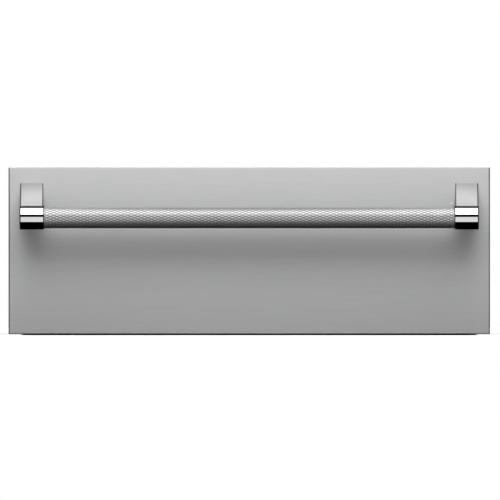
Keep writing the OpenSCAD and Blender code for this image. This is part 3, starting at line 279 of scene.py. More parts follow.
LINE_GRAIN = Effect("line grain", {"Fine": 4.0, "Fine Share": 0.5}, line_grain)
SMUDGE = Effect("smudge", {"Scale": 8.0, "Sharpness": 0.25}, smudge)
FLECK = Effect("fleck", {"Scale": 900.0}, fleck)
SPANGLE = Effect("spangle", {"Scale": 110.0}, spangle)
EDGE_SHADE = Effect("edge band", {"Middle": 0.0, "Reach": 1.0, "Fade": 0.001}, edge_band)


# ---- Finishes ----


@dataclass(frozen=True)
class Band:
    """A strip of painted shade along two opposite edges: where it starts, how dark it is and how far back it
    goes.
    """

    axis: Axis
    middle: float
    reach: float
    fade: float
    shade: float
    back: float = math.inf


@dataclass(frozen=True)
class Finish:
    """A finish: a plain colour and gloss, to which each kind adds its own surface.

    marks is the scale of its smudges, specks or cells. uneven is what the surface adds to the roughness
    at a mask of 0 and of 1. relief is how strongly its bumps show, and depth is their height in metres.
    """

    name: str
    colour: Triple
    roughness: float = 0.5
    metallic: float = 0.0
    bands: tuple[Band, ...] = ()
    marks: float = 0.0
    uneven: Span = (0.0, 0.0)
    relief: float = 0.0
    depth: float = 0.0

    def material(self) -> bpy.types.Material:
        """Gives the finish's material, made on the first call.

        Returns:
            The material.
        """
        found = bpy.data.materials.get(self.name)
        if found:
            return found
        made = bpy.data.materials.new(self.name)
        made.use_nodes = True
        tree = Tree(made.node_tree)
        plain = {"Base Color": (*self.colour, 1), "Roughness": self.roughness, "Metallic": self.metallic}
        shader = tree.add("BsdfPrincipled", plain | self.surface(tree))
        tree.add("OutputMaterial", {"Surface": shader.outputs[0]})
        return made

    def surface(self, tree: Tree) -> dict[str, object]:
        """Gives a constant or a socket for each of the shader's inputs that this kind of finish sets."""
        return {}

    def smudges(self, tree: Tree) -> Socket:
        """Places the smudges at the finish's own scale."""
        return SMUDGE.on(tree, Scale=self.marks)

    def gloss(self, tree: Tree, mask: Socket) -> Socket:
        """Gives the roughness, shifted by a mask as far as the finish is uneven."""
        return tree.spread(mask, self.roughness + self.uneven[0], self.roughness + self.uneven[1])

    def shades(self, tree: Tree, mask: Socket, low: float, high: float) -> Socket:
        """Gives the finish's colour times one factor where a mask is 0 and another where it is 1."""
        first, second = (tuple(min(1.0, part * factor) for part in self.colour) for factor in (low, high))
        return tree.blend(mask, first, second)

    def bump(self, tree: Tree, height: Socket) -> Socket:
        """Gives the normal that a height leaves, by the finish's relief and depth."""
        inputs = {"Strength": self.relief, "Distance": self.depth, "Height": height}
        return tree.add("Bump", inputs).outputs[0]

    def banded(self, tree: Tree, colour: Socket) -> Socket:
        """Paints shade into a colour along the finish's shade bands.

        Args:
            tree: The material's tree.
            colour: The colour's socket.

        Returns:
            The socket of the darkened colour.
        """
        for band in self.bands:
            edge = EDGE_SHADE.on(tree, tree.place(band.axis.way), Middle=band.middle, Reach=band.reach,
                                Fade=band.fade)
            if band.back < math.inf:
                depth = tree.vector("DOT_PRODUCT", tree.place(), Axis.Y.way)["Value"]
                edge = tree.calc("MULTIPLY", edge, tree.calc("LESS_THAN", depth, band.back))
            # painted shade: past the band's reach the colour is multiplied down to the band's shade
            dark = tree.blend(edge, (1, 1, 1), (band.shade,) * 3)
            colour = tree.add("Mix", {0: 1.0, 6: colour, 7: dark}, data_type="RGBA",
                              blend_type="MULTIPLY").outputs[2]
        return colour


@dataclass(frozen=True)
class BrushedMetal(Finish):
    """Metal that is ground in fine lines along one axis."""

    metallic: float = 1.0
    marks: float = 7.0
    uneven: Span = (-0.03, 0.03)
    relief: float = 0.12
    depth: float = 0.01 * MM
    lines: Axis = Axis.X
    pitch: float = 2.5 * MM
    run: float = 60 * MM
    fine: float = 3.6
    contrast: float = 0.04
    wiped: Span = (-0.015, 0.02)
    spread: float = 0.0
    turn: float = 0.0

    def surface(self, tree: Tree) -> dict[str, object]:
        """Makes the lines, a little unevenness in the gloss and the painted shade along its edges.

        Args:
            tree: The material's tree.

        Returns:
            A constant or a socket for each of the shader's inputs that it sets.
        """
        scale = [1 / self.pitch] * 3
        scale[self.lines.value] = 1 / self.run
        lines = LINE_GRAIN.on(tree, tree.place(scale), Fine=self.fine)
        colour = self.shades(tree, lines, 1 - self.contrast, 1 + self.contrast)
        wiped = tree.spread(self.smudges(tree), *self.wiped)
        return {"Base Color": self.banded(tree, colour), "Normal": self.bump(tree, lines),
                "Roughness": tree.calc("ADD", self.gloss(tree, lines), wiped),
                "Anisotropic": self.spread, "Anisotropic Rotation": self.turn}


@dataclass(frozen=True)
class PolishedMetal(Finish):
    """Bright metal with a few faint wipe marks."""

    metallic: float = 1.0
    marks: float = 60.0
    uneven: Span = (0.0, 0.02)
    mark_tone: float = 0.965

    def surface(self, tree: Tree) -> dict[str, object]:
        """Makes the wipe marks.

        Args:
            tree: The material's tree.

        Returns:
            A constant or a socket for each of the shader's inputs that it sets.
        """
        smudges = self.smudges(tree)
        return {"Base Color": self.shades(tree, smudges, 1.0, self.mark_tone),
                "Roughness": self.gloss(tree, smudges)}


@dataclass(frozen=True)
class KnurledMetal(Finish):
    """Satin metal whose grooves are duller than its crests and darkened by painted shade, about an axis
    along X.
    """

    metallic: float = 1.0
    marks: float = 1400.0
    uneven: Span = (0.18, 0.0)
    specks: Span = (-0.02, 0.03)
    # Painted shade: the grooves' colour is this share of the crests'.
    groove_tone: float = 0.08
    centre: Span = (0.0, 0.0)
    groove: float = 0.0
    crest: float = 0.0

    def surface(self, tree: Tree) -> dict[str, object]:
        """Paints shade into the grooves by the distance from the bar's axis.

        Args:
            tree: The material's tree.

        Returns:
            A constant or a socket for each of the shader's inputs that it sets.
        """
        moved = tree.vector("SUBTRACT", tree.place(), (0, *self.centre))[0]
        flat = tree.vector("MULTIPLY", moved, (0, 1, 1))[0]
        height = tree.spread(tree.vector("LENGTH", flat)["Value"], 0.0, 1.0, self.groove, self.crest)
        specks = tree.spread(FLECK.on(tree, Scale=self.marks), *self.specks)
        return {"Base Color": self.shades(tree, height, self.groove_tone, 1.0),
                "Roughness": tree.calc("ADD", self.gloss(tree, height), specks)}


@dataclass(frozen=True)
class ZincCoat(Finish):
    """Sheet steel with a zinc coat."""

    metallic: float = 0.85
    uneven: Span = (-0.06, 0.08)
    relief: float = 0.1
    depth: float = 0.03 * MM
    crystal: float = 9 * MM
    contrast: float = 0.1

    def surface(self, tree: Tree) -> dict[str, object]:
        """Makes the crystals in shade and gloss.

        Args:
            tree: The material's tree.

        Returns:
            A constant or a socket for each of the shader's inputs that it sets.
        """
        crystals = SPANGLE.on(tree, Scale=1 / self.crystal)
        return {"Base Color": self.shades(tree, crystals, 1 - self.contrast, 1 + self.contrast),
                "Roughness": self.gloss(tree, crystals), "Normal": self.bump(tree, crystals)}


@dataclass(frozen=True)
class Moulded(Finish):
    """Moulded plastic or rubber with a fine grain."""

    marks: float = 22.0
    uneven: Span = (-0.04, 0.05)
    relief: float = 0.35
    depth: float = 0.03 * MM
    grain: float = 1.1 * MM
    wear: float = 0.12

    def surface(self, tree: Tree) -> dict[str, object]:
        """Makes the grain and a little unevenness in colour and gloss.

        Args:
            tree: The material's tree.

        Returns:
            A constant or a socket for each of the shader's inputs that it sets.
        """
        smudges = self.smudges(tree)
        return {"Base Color": self.shades(tree, smudges, 1 - self.wear, 1 + self.wear),
                "Roughness": self.gloss(tree, smudges),
                "Normal": self.bump(tree, FLECK.on(tree, Scale=1 / self.grain))}


@dataclass(frozen=True)
class MineralWool(Finish):
    """Pressed mineral fibre, in matted strands of mixed shade."""

    marks: float = 45.0
    relief: float = 0.8
    depth: float = 1.2 * MM
    strands: Triple = (160, 420, 700)
    strand_turn: Triple = (0.3, 0.2, 0.7)
    fine: float = 2.7
    fine_share: float = 0.6
    clump_share: float = 0.4
    tones: Span = (0.72, 1.15)

    def surface(self, tree: Tree) -> dict[str, object]:
        """Makes the strands and the loose surface.

        Args:
            tree: The material's tree.

        Returns:
            A constant or a socket for each of the shader's inputs that it sets.
        """
        place = tree.place(self.strands, self.strand_turn)
        strands = LINE_GRAIN.on(tree, place, Fine=self.fine, Fine_Share=self.fine_share)
        both = tree.between(self.clump_share, strands, self.smudges(tree))
        return {"Base Color": self.shades(tree, both, *self.tones), "Normal": self.bump(tree, both)}


@dataclass(frozen=True)
class CircuitBoard(Finish):
    """Green board with copper tracks under its coat."""

    marks: float = 130.0
    relief: float = 0.3
    depth: float = 0.04 * MM
    wander: float = 0.7
    track: Span = (0.36, 0.42)
    track_tone: float = 1.9

    def surface(self, tree: Tree) -> dict[str, object]:
        """Makes tracks as straight-edged cells.

        Args:
            tree: The material's tree.

        Returns:
            A constant or a socket for each of the shader's inputs that it sets.
        """
        inputs = {"Vector": tree.place(), "Scale": self.marks, "Randomness": self.wander}
        cells = tree.add("TexVoronoi", inputs, distance="CHEBYCHEV")
        track = tree.spread(cells.outputs["Distance"], 0.0, 1.0, *self.track)
        return {"Base Color": self.shades(tree, track, 1.0, self.track_tone),
                "Normal": self.bump(tree, track)}


@dataclass(frozen=True)
class Clear(Finish):
    """Clear or tinted glass or plastic."""

    marks: float = 40.0
    uneven: Span = (0.0, 0.05)
    transmission: float = 1.0
    ior: float = 1.49

    def surface(self, tree: Tree) -> dict[str, object]:
        """Makes it clear, with faint wipe marks in its gloss."""
        return {"Transmission Weight": self.transmission, "IOR": self.ior,
                "Roughness": self.gloss(tree, self.smudges(tree))}


@dataclass(frozen=True)
class Glow(Finish):
    """A lit segment, a little brighter in patches."""

    marks: float = 300.0
    patch_tone: float = 0.9
    strength: float = 5.0

    def surface(self, tree: Tree) -> dict[str, object]:
        """Makes the light and its unevenness."""
        return {"Emission Color": self.shades(tree, self.smudges(tree), self.patch_tone, 1.0),
                "Emission Strength": self.strength}


@dataclass(frozen=True)
class HeatedSheath(Finish):
    """Dark oxide on a heating element, browner and bluer in patches."""

    metallic: float = 0.5
    marks: float = 16.0
    relief: float = 0.5
    depth: float = 0.06 * MM
    sharpness: float = 0.15
    grain: float = 700.0
    blue: Triple = (0.10, 0.10, 0.12)
    brown: Triple = (0.21, 0.17, 0.15)

    def surface(self, tree: Tree) -> dict[str, object]:
        """Makes the patches of heat colour.

        Args:
            tree: The material's tree.

        Returns:
            A constant or a socket for each of the shader's inputs that it sets.
        """
        patches = SMUDGE.on(tree, Scale=self.marks, Sharpness=self.sharpness)
        return {"Base Color": tree.blend(patches, self.blue, self.brown),
                "Normal": self.bump(tree, FLECK.on(tree, Scale=self.grain))}


SKIN_EDGE = 0.8 * MM
SKIN_LOW, SKIN_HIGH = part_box("front_skin")
SKIN_FACE = SKIN_LOW.y + SKIN_EDGE
# Painted shade: the skin's face is darkened along its left, right and bottom edges, for the dark its rounded
# edges reflect.
FRONT_EDGE_SHADE = (Band(Axis.X, 0.0, SKIN_HIGH.x - 2.3 * MM, 0.6 * MM, 0.18, SKIN_FACE),
               Band(Axis.Z, SKIN_HIGH.z, SKIN_HIGH.z - 3 * MM, 0.6 * MM, 0.3, SKIN_FACE))
POST_STEEL = BrushedMetal("satin post steel", (0.51, 0.51, 0.517), 0.6, 0.4, pitch=0.8 * MM, run=12 * MM,
                          contrast=0.02)
KNURL_METAL = KnurledMetal("knurled bar metal", (0.86, 0.86, 0.87), 0.36, 0.8)
CAP_METAL = PolishedMetal("polished cap metal", (0.95, 0.95, 0.96), 0.02)
# Painted shade: a near-black finish round the rims of both ends of each cap, a dark line there.
CAP_RIM_SHADE = BrushedMetal("blackened cap rim", (0.012, 0.012, 0.012), 0.85, 0.0, pitch=0.5 * MM, run=3 * MM)
# Painted shade: a near-black, dull strip over each cap's top, where the shadow line under its post falls.
SHADOW_LINE_STRIP = Moulded("post pad rubber", (0.006, 0.006, 0.006), 0.95)
ZINC_SHEET = ZincCoat("zinc coated sheet", (0.6, 0.62, 0.63), 0.42)
FASCIA_BLACK = Moulded("black fascia", (0.03, 0.03, 0.035), 0.2, depth=0.008 * MM)
LENS_PINK = Clear("pink lens", (0.99, 0.9, 0.93), 0.3, transmission=0.02)
DIGIT_GLOW = Glow("display segments", (1.0, 0.5, 0.25), 0.5)
PRINT_WHITE = Moulded("white print", (0.88, 0.88, 0.88), 0.5, wear=0.03)

SLOT_FINISHES: dict[str, Finish] = {
    "brushed_front": BrushedMetal("brushed front steel", (0.66, 0.663, 0.67), 0.6, 0.55, spread=0.85,
                                  turn=0.25, pitch=2.2 * MM, run=90 * MM, contrast=0.045,
                                  bands=FRONT_EDGE_SHADE),
    "satin_post": POST_STEEL,
    "knurled_bar": POST_STEEL,
    "polished_cap": CAP_METAL,
    "inner_sheet": BrushedMetal("inner sheet steel", (0.62, 0.63, 0.64), 0.34, contrast=0.03),
    "drawn_pan": BrushedMetal("drawn pan steel", (0.66, 0.66, 0.67), 0.3, lines=Axis.Y, contrast=0.03),
    "bright_wire": PolishedMetal("bright rack wire", (0.72, 0.72, 0.73), 0.13),
    "zinc_slide": ZincCoat("zinc plated slide", (0.66, 0.68, 0.7), 0.33, crystal=3 * MM, contrast=0.04),
    "ball_cage": BrushedMetal("brass ball cage", (0.62, 0.52, 0.32), 0.36, lines=Axis.Y, contrast=0.05),
    "zinc_sheet": ZINC_SHEET,
    "frame_steel": BrushedMetal("frame steel", (0.6, 0.6, 0.61), 0.36, contrast=0.03),
    "liner_steel": BrushedMetal("liner steel", (0.58, 0.58, 0.59), 0.32, lines=Axis.Y, contrast=0.03),
    "mineral_board": MineralWool("mineral board", (0.78, 0.72, 0.55), 0.95),
    "element_sheath": HeatedSheath("element sheath", (0.16, 0.16, 0.17), 0.6),
    "probe_steel": BrushedMetal("probe steel", (0.62, 0.62, 0.63), 0.25, lines=Axis.Y, contrast=0.02),
    "brown_moulding": Moulded("brown moulding", (0.25, 0.12, 0.07), 0.35),
    "board_green": CircuitBoard("green board", (0.05, 0.24, 0.12), 0.4),
    "board_parts": Moulded("board parts", (0.09, 0.09, 0.1), 0.42),
    "white_nylon": Moulded("white nylon", (0.82, 0.81, 0.76), 0.48, wear=0.04),
    "black_nylon": Moulded("black nylon", (0.03, 0.03, 0.03), 0.46),
    "lead_pvc": Moulded("brown lead cover", (0.3, 0.16, 0.08), 0.5),
    "lead_glass": Moulded("glass sleeve", (0.8, 0.79, 0.74), 0.85, grain=0.8 * MM, depth=0.12 * MM,
                          wear=0.05),
    "ribbon_grey": Moulded("grey ribbon", (0.55, 0.56, 0.58), 0.55),
    "fascia_black": FASCIA_BLACK,
    "window_smoke": Clear("smoked window", (0.4, 0.41, 0.43), 0.02, transmission=0.92),
    "indicator_red": Clear("red lamp", (0.85, 0.25, 0.22), 0.08, transmission=0.6),
    "light_pipe_clear": Clear("clear light pipe", (0.93, 0.76, 0.79), 0.25, transmission=0.35),
    "button_grey": Moulded("grey button", (0.2, 0.2, 0.208), 0.42, wear=0.04),
    "seal_rubber": Moulded("seal rubber", (0.13, 0.13, 0.14), 0.7, grain=0.9 * MM, depth=0.06 * MM),
    "foot_rubber": Moulded("foot rubber", (0.04, 0.04, 0.04), 0.8, grain=0.9 * MM, depth=0.08 * MM),
    "screw_steel": BrushedMetal("screw steel", (0.45, 0.45, 0.46), 0.3, pitch=0.6 * MM, run=2 * MM,
                                contrast=0.02),
}


# ---- Shaping ----


def only(geom: Iterable, kind: type) -> list:
    """Gives those parts of a bmesh operator's result that are of one kind."""
    return [part for part in geom if isinstance(part, kind)]


class Blank:
    """A mesh that bmesh operators shape into one piece, in metres and in the frame's place."""

    def __init__(self) -> None:
        """Starts empty."""
        self.bm = bmesh.new()

    @property
    def everything(self) -> list:
        """Gives every vertex, edge and face."""
        return self.bm.verts[:] + self.bm.edges[:] + self.bm.faces[:]

    def box(self, x: Span, y: Span, z: Span) -> None:
        """Adds a block by its spans along X, Y and Z.

        Args:
            x: Its low and high place along X.
            y: The same along Y.
            z: The same along Z.
        """
        size = Matrix.Diagonal([high - low for low, high in (x, y, z)] + [1])
        middle = Matrix.Translation([sum(span) / 2 for span in (x, y, z)])
        bmesh.ops.create_cube(self.bm, size=1.0, matrix=middle @ size)

    def turned(self, profile: Sequence[Span], origin: Vector, axis: Axis, steps: int) -> None:
        """Adds a shape turned about an axis.

        Args:
            profile: Points as (place along the axis, radius). It is closed where it ends off the axis.
            origin: A point on the axis, from which the places are counted.
            axis: The axis of turning.
            steps: The number of steps round.
        """
        along = axis.way
        out = Axis((axis.value + 1) % 3).way
        verts = [self.bm.verts.new(origin + along * place + out * radius) for place, radius in profile]
        edges = [self.bm.edges.new(pair) for pair in zip(verts, verts[1:])]
        if profile[0][1] > 0 and profile[-1][1] > 0:
            edges.append(self.bm.edges.new((verts[-1], verts[0])))
        bmesh.ops.spin(self.bm, geom=verts + edges, cent=origin, axis=along, angle=math.tau, steps=steps,
                       use_merge=True, use_duplicate=False)
        self.clean()

    def looped(self, section: Sequence[Span], low: Vector, high: Vector, turn: float, steps: int) -> None:
        """Adds a closed section swept round an upright rectangle with rounded corners.

        Args:
            section: Points as (distance outwards, place along Y), in turn.
            low: The rectangle's low corner.
            high: Its high corner.
            turn: The radius of its corners.
            steps: The steps of each corner.
        """
        bm = self.bm
        start = Vector((low.x + turn, 0, high.z))
        verts = [bm.verts.new(start + Vector((0, y, out))) for out, y in section]
        ring = [bm.edges.new(pair) for pair in zip(verts, verts[1:] + verts[:1])]
        across, down = high.x - low.x - 2 * turn, high.z - low.z - 2 * turn
        left, right, bottom, top = low.x + turn, high.x - turn, low.z + turn, high.z - turn
        runs = (((across, 0, 0), (right, 0, top)), ((0, 0, -down), (right, 0, bottom)),
                ((-across, 0, 0), (left, 0, bottom)), ((0, 0, down), (left, 0, top)))
        for run, corner in runs:
            made = bmesh.ops.extrude_edge_only(bm, edges=ring)["geom"]
            bmesh.ops.translate(bm, verts=only(made, bmesh.types.BMVert), vec=run)
            last = bmesh.ops.spin(bm, geom=only(made, bmesh.types.BMEdge), cent=corner, axis=Axis.Y.way,
                                  angle=math.pi / 2, steps=steps, use_duplicate=False)["geom_last"]
            ring = only(last, bmesh.types.BMEdge)
        self.clean()

    def clean(self) -> None:
        """Merges doubles and turns the faces outwards."""
        bmesh.ops.remove_doubles(self.bm, verts=self.bm.verts, dist=MERGE)
        bmesh.ops.recalc_face_normals(self.bm, faces=self.bm.faces)

    def piece(self, name: str, finish: Finish, body: str, slot: str, replaces: Iterable[str] = (),
              smooth: float = SMOOTH) -> bpy.types.Object:
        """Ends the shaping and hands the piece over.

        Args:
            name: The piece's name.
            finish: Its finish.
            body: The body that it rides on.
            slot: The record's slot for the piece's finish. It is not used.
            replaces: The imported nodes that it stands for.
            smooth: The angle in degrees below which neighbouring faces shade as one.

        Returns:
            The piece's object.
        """
        mesh = bpy.data.meshes.new(name)
        limit = math.radians(smooth)
        for face in self.bm.faces:
            face.smooth = True
        for edge in self.bm.edges:
            edge.smooth = len(edge.link_faces) == 2 and edge.calc_face_angle(0.0) < limit
        self.bm.to_mesh(mesh)
        self.bm.free()
        made = bpy.data.objects.new(name, mesh)
        bpy.context.scene.collection.objects.link(made)
        mesh.materials.append(finish.material())
        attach(made, body)
        if replaces:
            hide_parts(*replaces)
        LOG.info("piece %s: %d faces, rides on %s", name, len(mesh.polygons), body)
        return made


@dataclass(frozen=True)
class Packed:
    """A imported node: the body that it rides on, its slot, its solid and its finish."""

    node: str

    @property
    def body(self) -> str:
        """Gives the name of the body that the node rides on."""
        bodies = frame["record"]["behaviour"]["bodies"]
        return next(body for body, nodes in bodies.items() if self.node in nodes)

    @property
    def slot(self) -> str:
        """Gives the name of the node's slot."""
        parts = frame["record"]["subparts"]
        return next(part["material_slot"] for part in parts if part["node"] == self.node)

    def copy(self) -> Blank:
        """Copies the node's solid and merges its loose triangles into flat faces.

        Returns:
            The copy, as a blank.
        """
        blank = Blank()
        blank.bm.from_mesh(frame["nodes"][self.node].data)
        blank.clean()
        bmesh.ops.dissolve_limit(blank.bm, angle_limit=FLAT, verts=blank.bm.verts,
                                 edges=blank.bm.edges)
        return blank

    def eased(self, width: float, angle: float = 60.0, segments: int = 3, least: float = 0.0) -> Blank:
        """Copies the node's solid and eases its sharp edges.

        Args:
            width: The easing's width.
            angle: The least angle in degrees of an edge that is eased.
            segments: The steps of the easing.
            least: The length below which an edge stays sharp.

        Returns:
            The copy, ready to be handed over as a piece.
        """
        blank = self.copy()
        sharp = [e for e in blank.bm.edges if e.is_manifold and e.calc_length() >= least
                 and e.calc_face_angle(0.0) > math.radians(angle)]
        bmesh.ops.bevel(blank.bm, geom=sharp, offset=width, segments=segments, profile=0.5, affect="EDGES",
                        material=-1, clamp_overlap=True)
        return blank

    def become(self, blank: Blank, name: str, smooth: float = SMOOTH) -> bpy.types.Object:
        """Puts a shaped blank in the node's place, in the node's own finish."""
        return blank.piece(name, SLOT_FINISHES[self.slot], self.body, self.slot, [self.node], smooth)


# ---- Drawer front ----


@dataclass
class DrawerFront:
    """The brushed skin with its edges eased, and the light pipe's domed lens."""

    skin_edge: float = SKIN_EDGE
    skin_least: float = 20 * MM
    lens_radius: float = 1.9 * MM
    lens_rise: float = 0.5 * MM
    lens_depth: float = 0.2 * MM
    dome_steps: int = 6
    round_steps: int = 32

    def lens(self) -> None:
        """Makes the lens, a spherical cap on the skin's face."""
        low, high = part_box("light_pipe")
        middle = Vector(((low.x + high.x) / 2, SKIN_LOW.y, (low.z + high.z) / 2))
        ball = (self.lens_radius ** 2 + self.lens_rise ** 2) / (2 * self.lens_rise)
        spread = math.asin(self.lens_radius / ball)
        turns = [spread * step / self.dome_steps for step in range(self.dome_steps + 1)]
        profile = [(ball - self.lens_rise - ball * math.cos(a), ball * math.sin(a)) for a in turns]
        profile.append((self.lens_depth, self.lens_radius))
        blank = Blank()
        blank.turned(profile, middle, Axis.Y, self.round_steps)
        blank.piece("light_pipe_lens", LENS_PINK, "drawer", "light_pipe_clear")

    def build(self) -> None:
        """Makes the skin and the lens."""
        skin = Packed("front_skin")
        skin.become(skin.eased(self.skin_edge, least=self.skin_least), "turned_skin")
        self.lens()


# ---- Handle ----


def quarter_round(along: float, out: float, radius: float, first: float, steps: int) -> list[Span]:
    """Gives the points of a quarter circle about a centre, clockwise from its first angle."""
    turns = [first - math.pi / 2 * step / steps for step in range(steps + 1)]
    return [(along + radius * math.cos(a), out + radius * math.sin(a)) for a in turns]


@dataclass
class Handle:
    """The knurled bar, its two polished end caps, the two posts that carry them, and painted shade strips.
    """

    cells_round: int = 24
    cell_length: float = 10.6 * MM
    crest_steps: tuple[Span, ...] = ((0.35 * MM, 0.35 * MM), (0.4 * MM, 0.25 * MM), (0.4 * MM, 0.15 * MM),
                                     (0.4 * MM, 0.05 * MM))
    knurl_rise: float = 0.5 * MM
    # The heights over the groove floor across which the knurl's painted shade fades out.
    knurl_shade: Span = (0.1 * MM, 0.38 * MM)
    knurl_smooth: float = 55.0
    cut_near: float = 10 * MERGE
    cap_edge: float = 1.2 * MM
    cap_rim: float = 0.6 * MM
    # How far the caps' painted shade reaches in from each end's rim.
    cap_line: float = 1.7 * MM
    cap_floor: float = 6 * MM
    cap_land: float = 0.2 * MM
    bore_lip: float = 0.15 * MM
    bore_play: float = 0.05 * MM
    cap_steps: int = 96
    edge_steps: int = 6
    post_edge: float = 1.0 * MM
    post_angle: float = 45.0
    # The painted shade along the posts' side edges: its shift, inset, fade and darkness.
    post_shift: float = 0.2 * MM
    post_rim: float = 1.7 * MM
    rim_fade: float = 0.3 * MM
    rim_shade: float = 0.14
    # The strip of painted shade over each cap's top: its turn, thickness, start and steps.
    pad_turn: float = math.radians(30)
    pad_thick: float = 0.5 * MM
    pad_start: float = 0.025 * MM
    pad_steps: int = 18

    def __post_init__(self) -> None:
        """Takes the bar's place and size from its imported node."""
        low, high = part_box("handle_bar")
        self.span: Span = (low.x, high.x)
        self.radius = (high.z - low.z) / 2
        self.centre = Vector((0.0, (low.y + high.y) / 2, (low.z + high.z) / 2))
        self.groove = self.radius + self.knurl_rise - sum(depth for _, depth in self.crest_steps)

    def cell(self, blank: Blank, place: float) -> None:
        """Adds one diamond of the knurl on the bar's top, raised in steps to a rounded crest.

        Args:
            blank: The blank that takes it.
            place: Its middle along X.
        """
        bm = blank.bm
        half_turn, half = math.pi / self.cells_round, self.cell_length / 2
        top = self.groove * Vector((0, math.sin(half_turn), math.cos(half_turn)))
        corners = [(half, 0.0, self.groove), (0.0, top.y, top.z), (-half, 0.0, self.groove),
                   (0.0, -top.y, top.z)]
        face = bm.faces.new([bm.verts.new(self.centre + Vector(c)) for c in corners])
        for width, depth in self.crest_steps:
            bmesh.ops.inset_individual(bm, faces=[face], thickness=width, depth=depth, use_even_offset=True)
        bmesh.ops.translate(bm, verts=bm.verts, vec=(place, 0, 0))

    def copied(self, blank: Blank, geom: list, along: float) -> list:
        """Copies a part of a blank along X.

        Args:
            blank: The blank.
            geom: The part's vertices, edges and faces.
            along: The distance.

        Returns:
            The copy's vertices.
        """
        verts = only(bmesh.ops.duplicate(blank.bm, geom=geom)["geom"], bmesh.types.BMVert)
        bmesh.ops.translate(blank.bm, verts=verts, vec=(along, 0, 0))
        return verts

    def cut_end(self, blank: Blank, place: float, side: Side) -> None:
        """Cuts the knurled bar off square at one end and closes it.

        Args:
            blank: The bar's blank.
            place: The end's place along X.
            side: The side on which it lies.
        """
        bm = blank.bm
        bmesh.ops.bisect_plane(bm, geom=blank.everything, plane_co=(place, 0, 0),
                               plane_no=(side.value, 0, 0), clear_outer=True)
        rim = [e for e in bm.edges if e.is_boundary
               and all(abs(v.co.x - place) < self.cut_near for v in e.verts)]
        bmesh.ops.contextual_create(bm, geom=rim)

    def bar(self) -> None:
        """Makes the knurled bar from rings of diamonds, in staggered pairs."""
        blank = Blank()
        bm = blank.bm
        count = int((self.span[1] - self.span[0]) / self.cell_length) + 1
        self.cell(blank, -count * self.cell_length / 2)
        twin = self.copied(blank, blank.everything, self.cell_length / 2)
        bmesh.ops.rotate(bm, verts=twin, cent=self.centre,
                         matrix=Matrix.Rotation(math.pi / self.cells_round, 3, "X"))
        bmesh.ops.spin(bm, geom=blank.everything, cent=self.centre, axis=(1, 0, 0), angle=math.tau,
                       steps=self.cells_round, use_duplicate=True, use_merge=False)
        bmesh.ops.remove_doubles(bm, verts=bm.verts, dist=2 * MERGE)
        ring = blank.everything
        for step in range(1, count + 1):
            self.copied(blank, ring, step * self.cell_length)
        bmesh.ops.remove_doubles(bm, verts=bm.verts, dist=2 * MERGE)
        for place, side in zip(self.span, Side):
            self.cut_end(blank, place, side)
        bmesh.ops.recalc_face_normals(bm, faces=bm.faces)
        groove, crest = (self.groove + rise for rise in self.knurl_shade)
        finish = replace(KNURL_METAL, centre=(self.centre.y, self.centre.z), groove=groove, crest=crest)
        blank.piece("knurled_bar", finish, "drawer", "knurled_bar", ["handle_bar"], self.knurl_smooth)

    def cap_profile(self, length: float, radius: float) -> list[Span]:
        """Gives half the section of a cap, a turned cup with eased edges.

        Args:
            length: The cap's length.
            radius: Its radius.

        Returns:
            The section's points as (place from the inner end, radius).
        """
        edge, rim, line, floor = self.cap_edge, self.cap_rim, self.cap_line, length - self.cap_floor
        bore = self.radius + self.knurl_rise + self.bore_play
        return [(floor, 0.0), (floor, bore), (self.bore_lip, bore),
                *quarter_round(edge, radius - edge, edge, math.pi, self.edge_steps),
                (edge + self.cap_land, radius), (length - line, radius),
                *quarter_round(length - rim, radius - rim, rim, math.pi / 2, self.edge_steps),
                (length, radius - line), (length, 0.0)]

    def cap(self, side: Side) -> None:
        """Makes the end cap of one side, with painted shade as a dark line round the rims of both its ends.

        Args:
            side: The side of the front.
        """
        node = f"{side.word}_end_cap"
        low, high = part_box(node)
        radius, length = (high.z - low.z) / 2, high.x - low.x
        inner = high.x if side is Side.LEFT else low.x
        profile = [(side.value * place, out) for place, out in self.cap_profile(length, radius)]
        blank = Blank()
        blank.turned(profile, Vector((inner, self.centre.y, self.centre.z)), Axis.X, self.cap_steps)
        middle = Vector(((low.x + high.x) / 2, self.centre.y, self.centre.z))
        # Painted shade: the faces round the rims of both ends take the dark second finish.
        for face in blank.bm.faces:
            away = face.calc_center_median() - middle
            at_end = abs(away.x) > length / 2 - self.cap_line
            face.material_index = int(at_end and away.yz.length > radius - self.cap_line)
        made = blank.piece(f"{side.word}_polished_cap", CAP_METAL, "drawer", "polished_cap", [node])
        made.data.materials.append(CAP_RIM_SHADE.material())

    def pad(self, side: Side) -> None:
        """Makes the thin black strip between one cap and its post, bent over the cap's top: painted shade.

        Args:
            side: The side of the front.
        """
        low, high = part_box(f"{side.word}_end_cap")
        radius = (high.z - low.z) / 2
        blank = Blank()
        blank.box((low.x, high.x), (-self.pad_start, 0.0), (radius, radius + self.pad_thick))
        bm = blank.bm
        bmesh.ops.translate(bm, verts=bm.verts, vec=(0, self.centre.y, self.centre.z))
        front = [f for f in bm.faces if f.normal.y < -0.5]
        bmesh.ops.rotate(bm, verts=bm.verts, cent=self.centre,
                         matrix=Matrix.Rotation(self.pad_turn, 3, "X"))
        bmesh.ops.spin(bm, geom=front, cent=self.centre, axis=(1, 0, 0), angle=-2 * self.pad_turn,
                       steps=self.pad_steps, use_duplicate=False)
        blank.clean()
        blank.piece(f"{side.word}_post_pad", SHADOW_LINE_STRIP, "drawer", "black_nylon")

    def post(self, side: Side) -> None:
        """Makes the post of one side with eased edges, and painted shade along its two side edges.

        Args:
            side: The side of the front.
        """
        node = f"{side.word}_handle_post"
        low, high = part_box(node)
        middle = (low.x + high.x) / 2 - side.value * self.post_shift
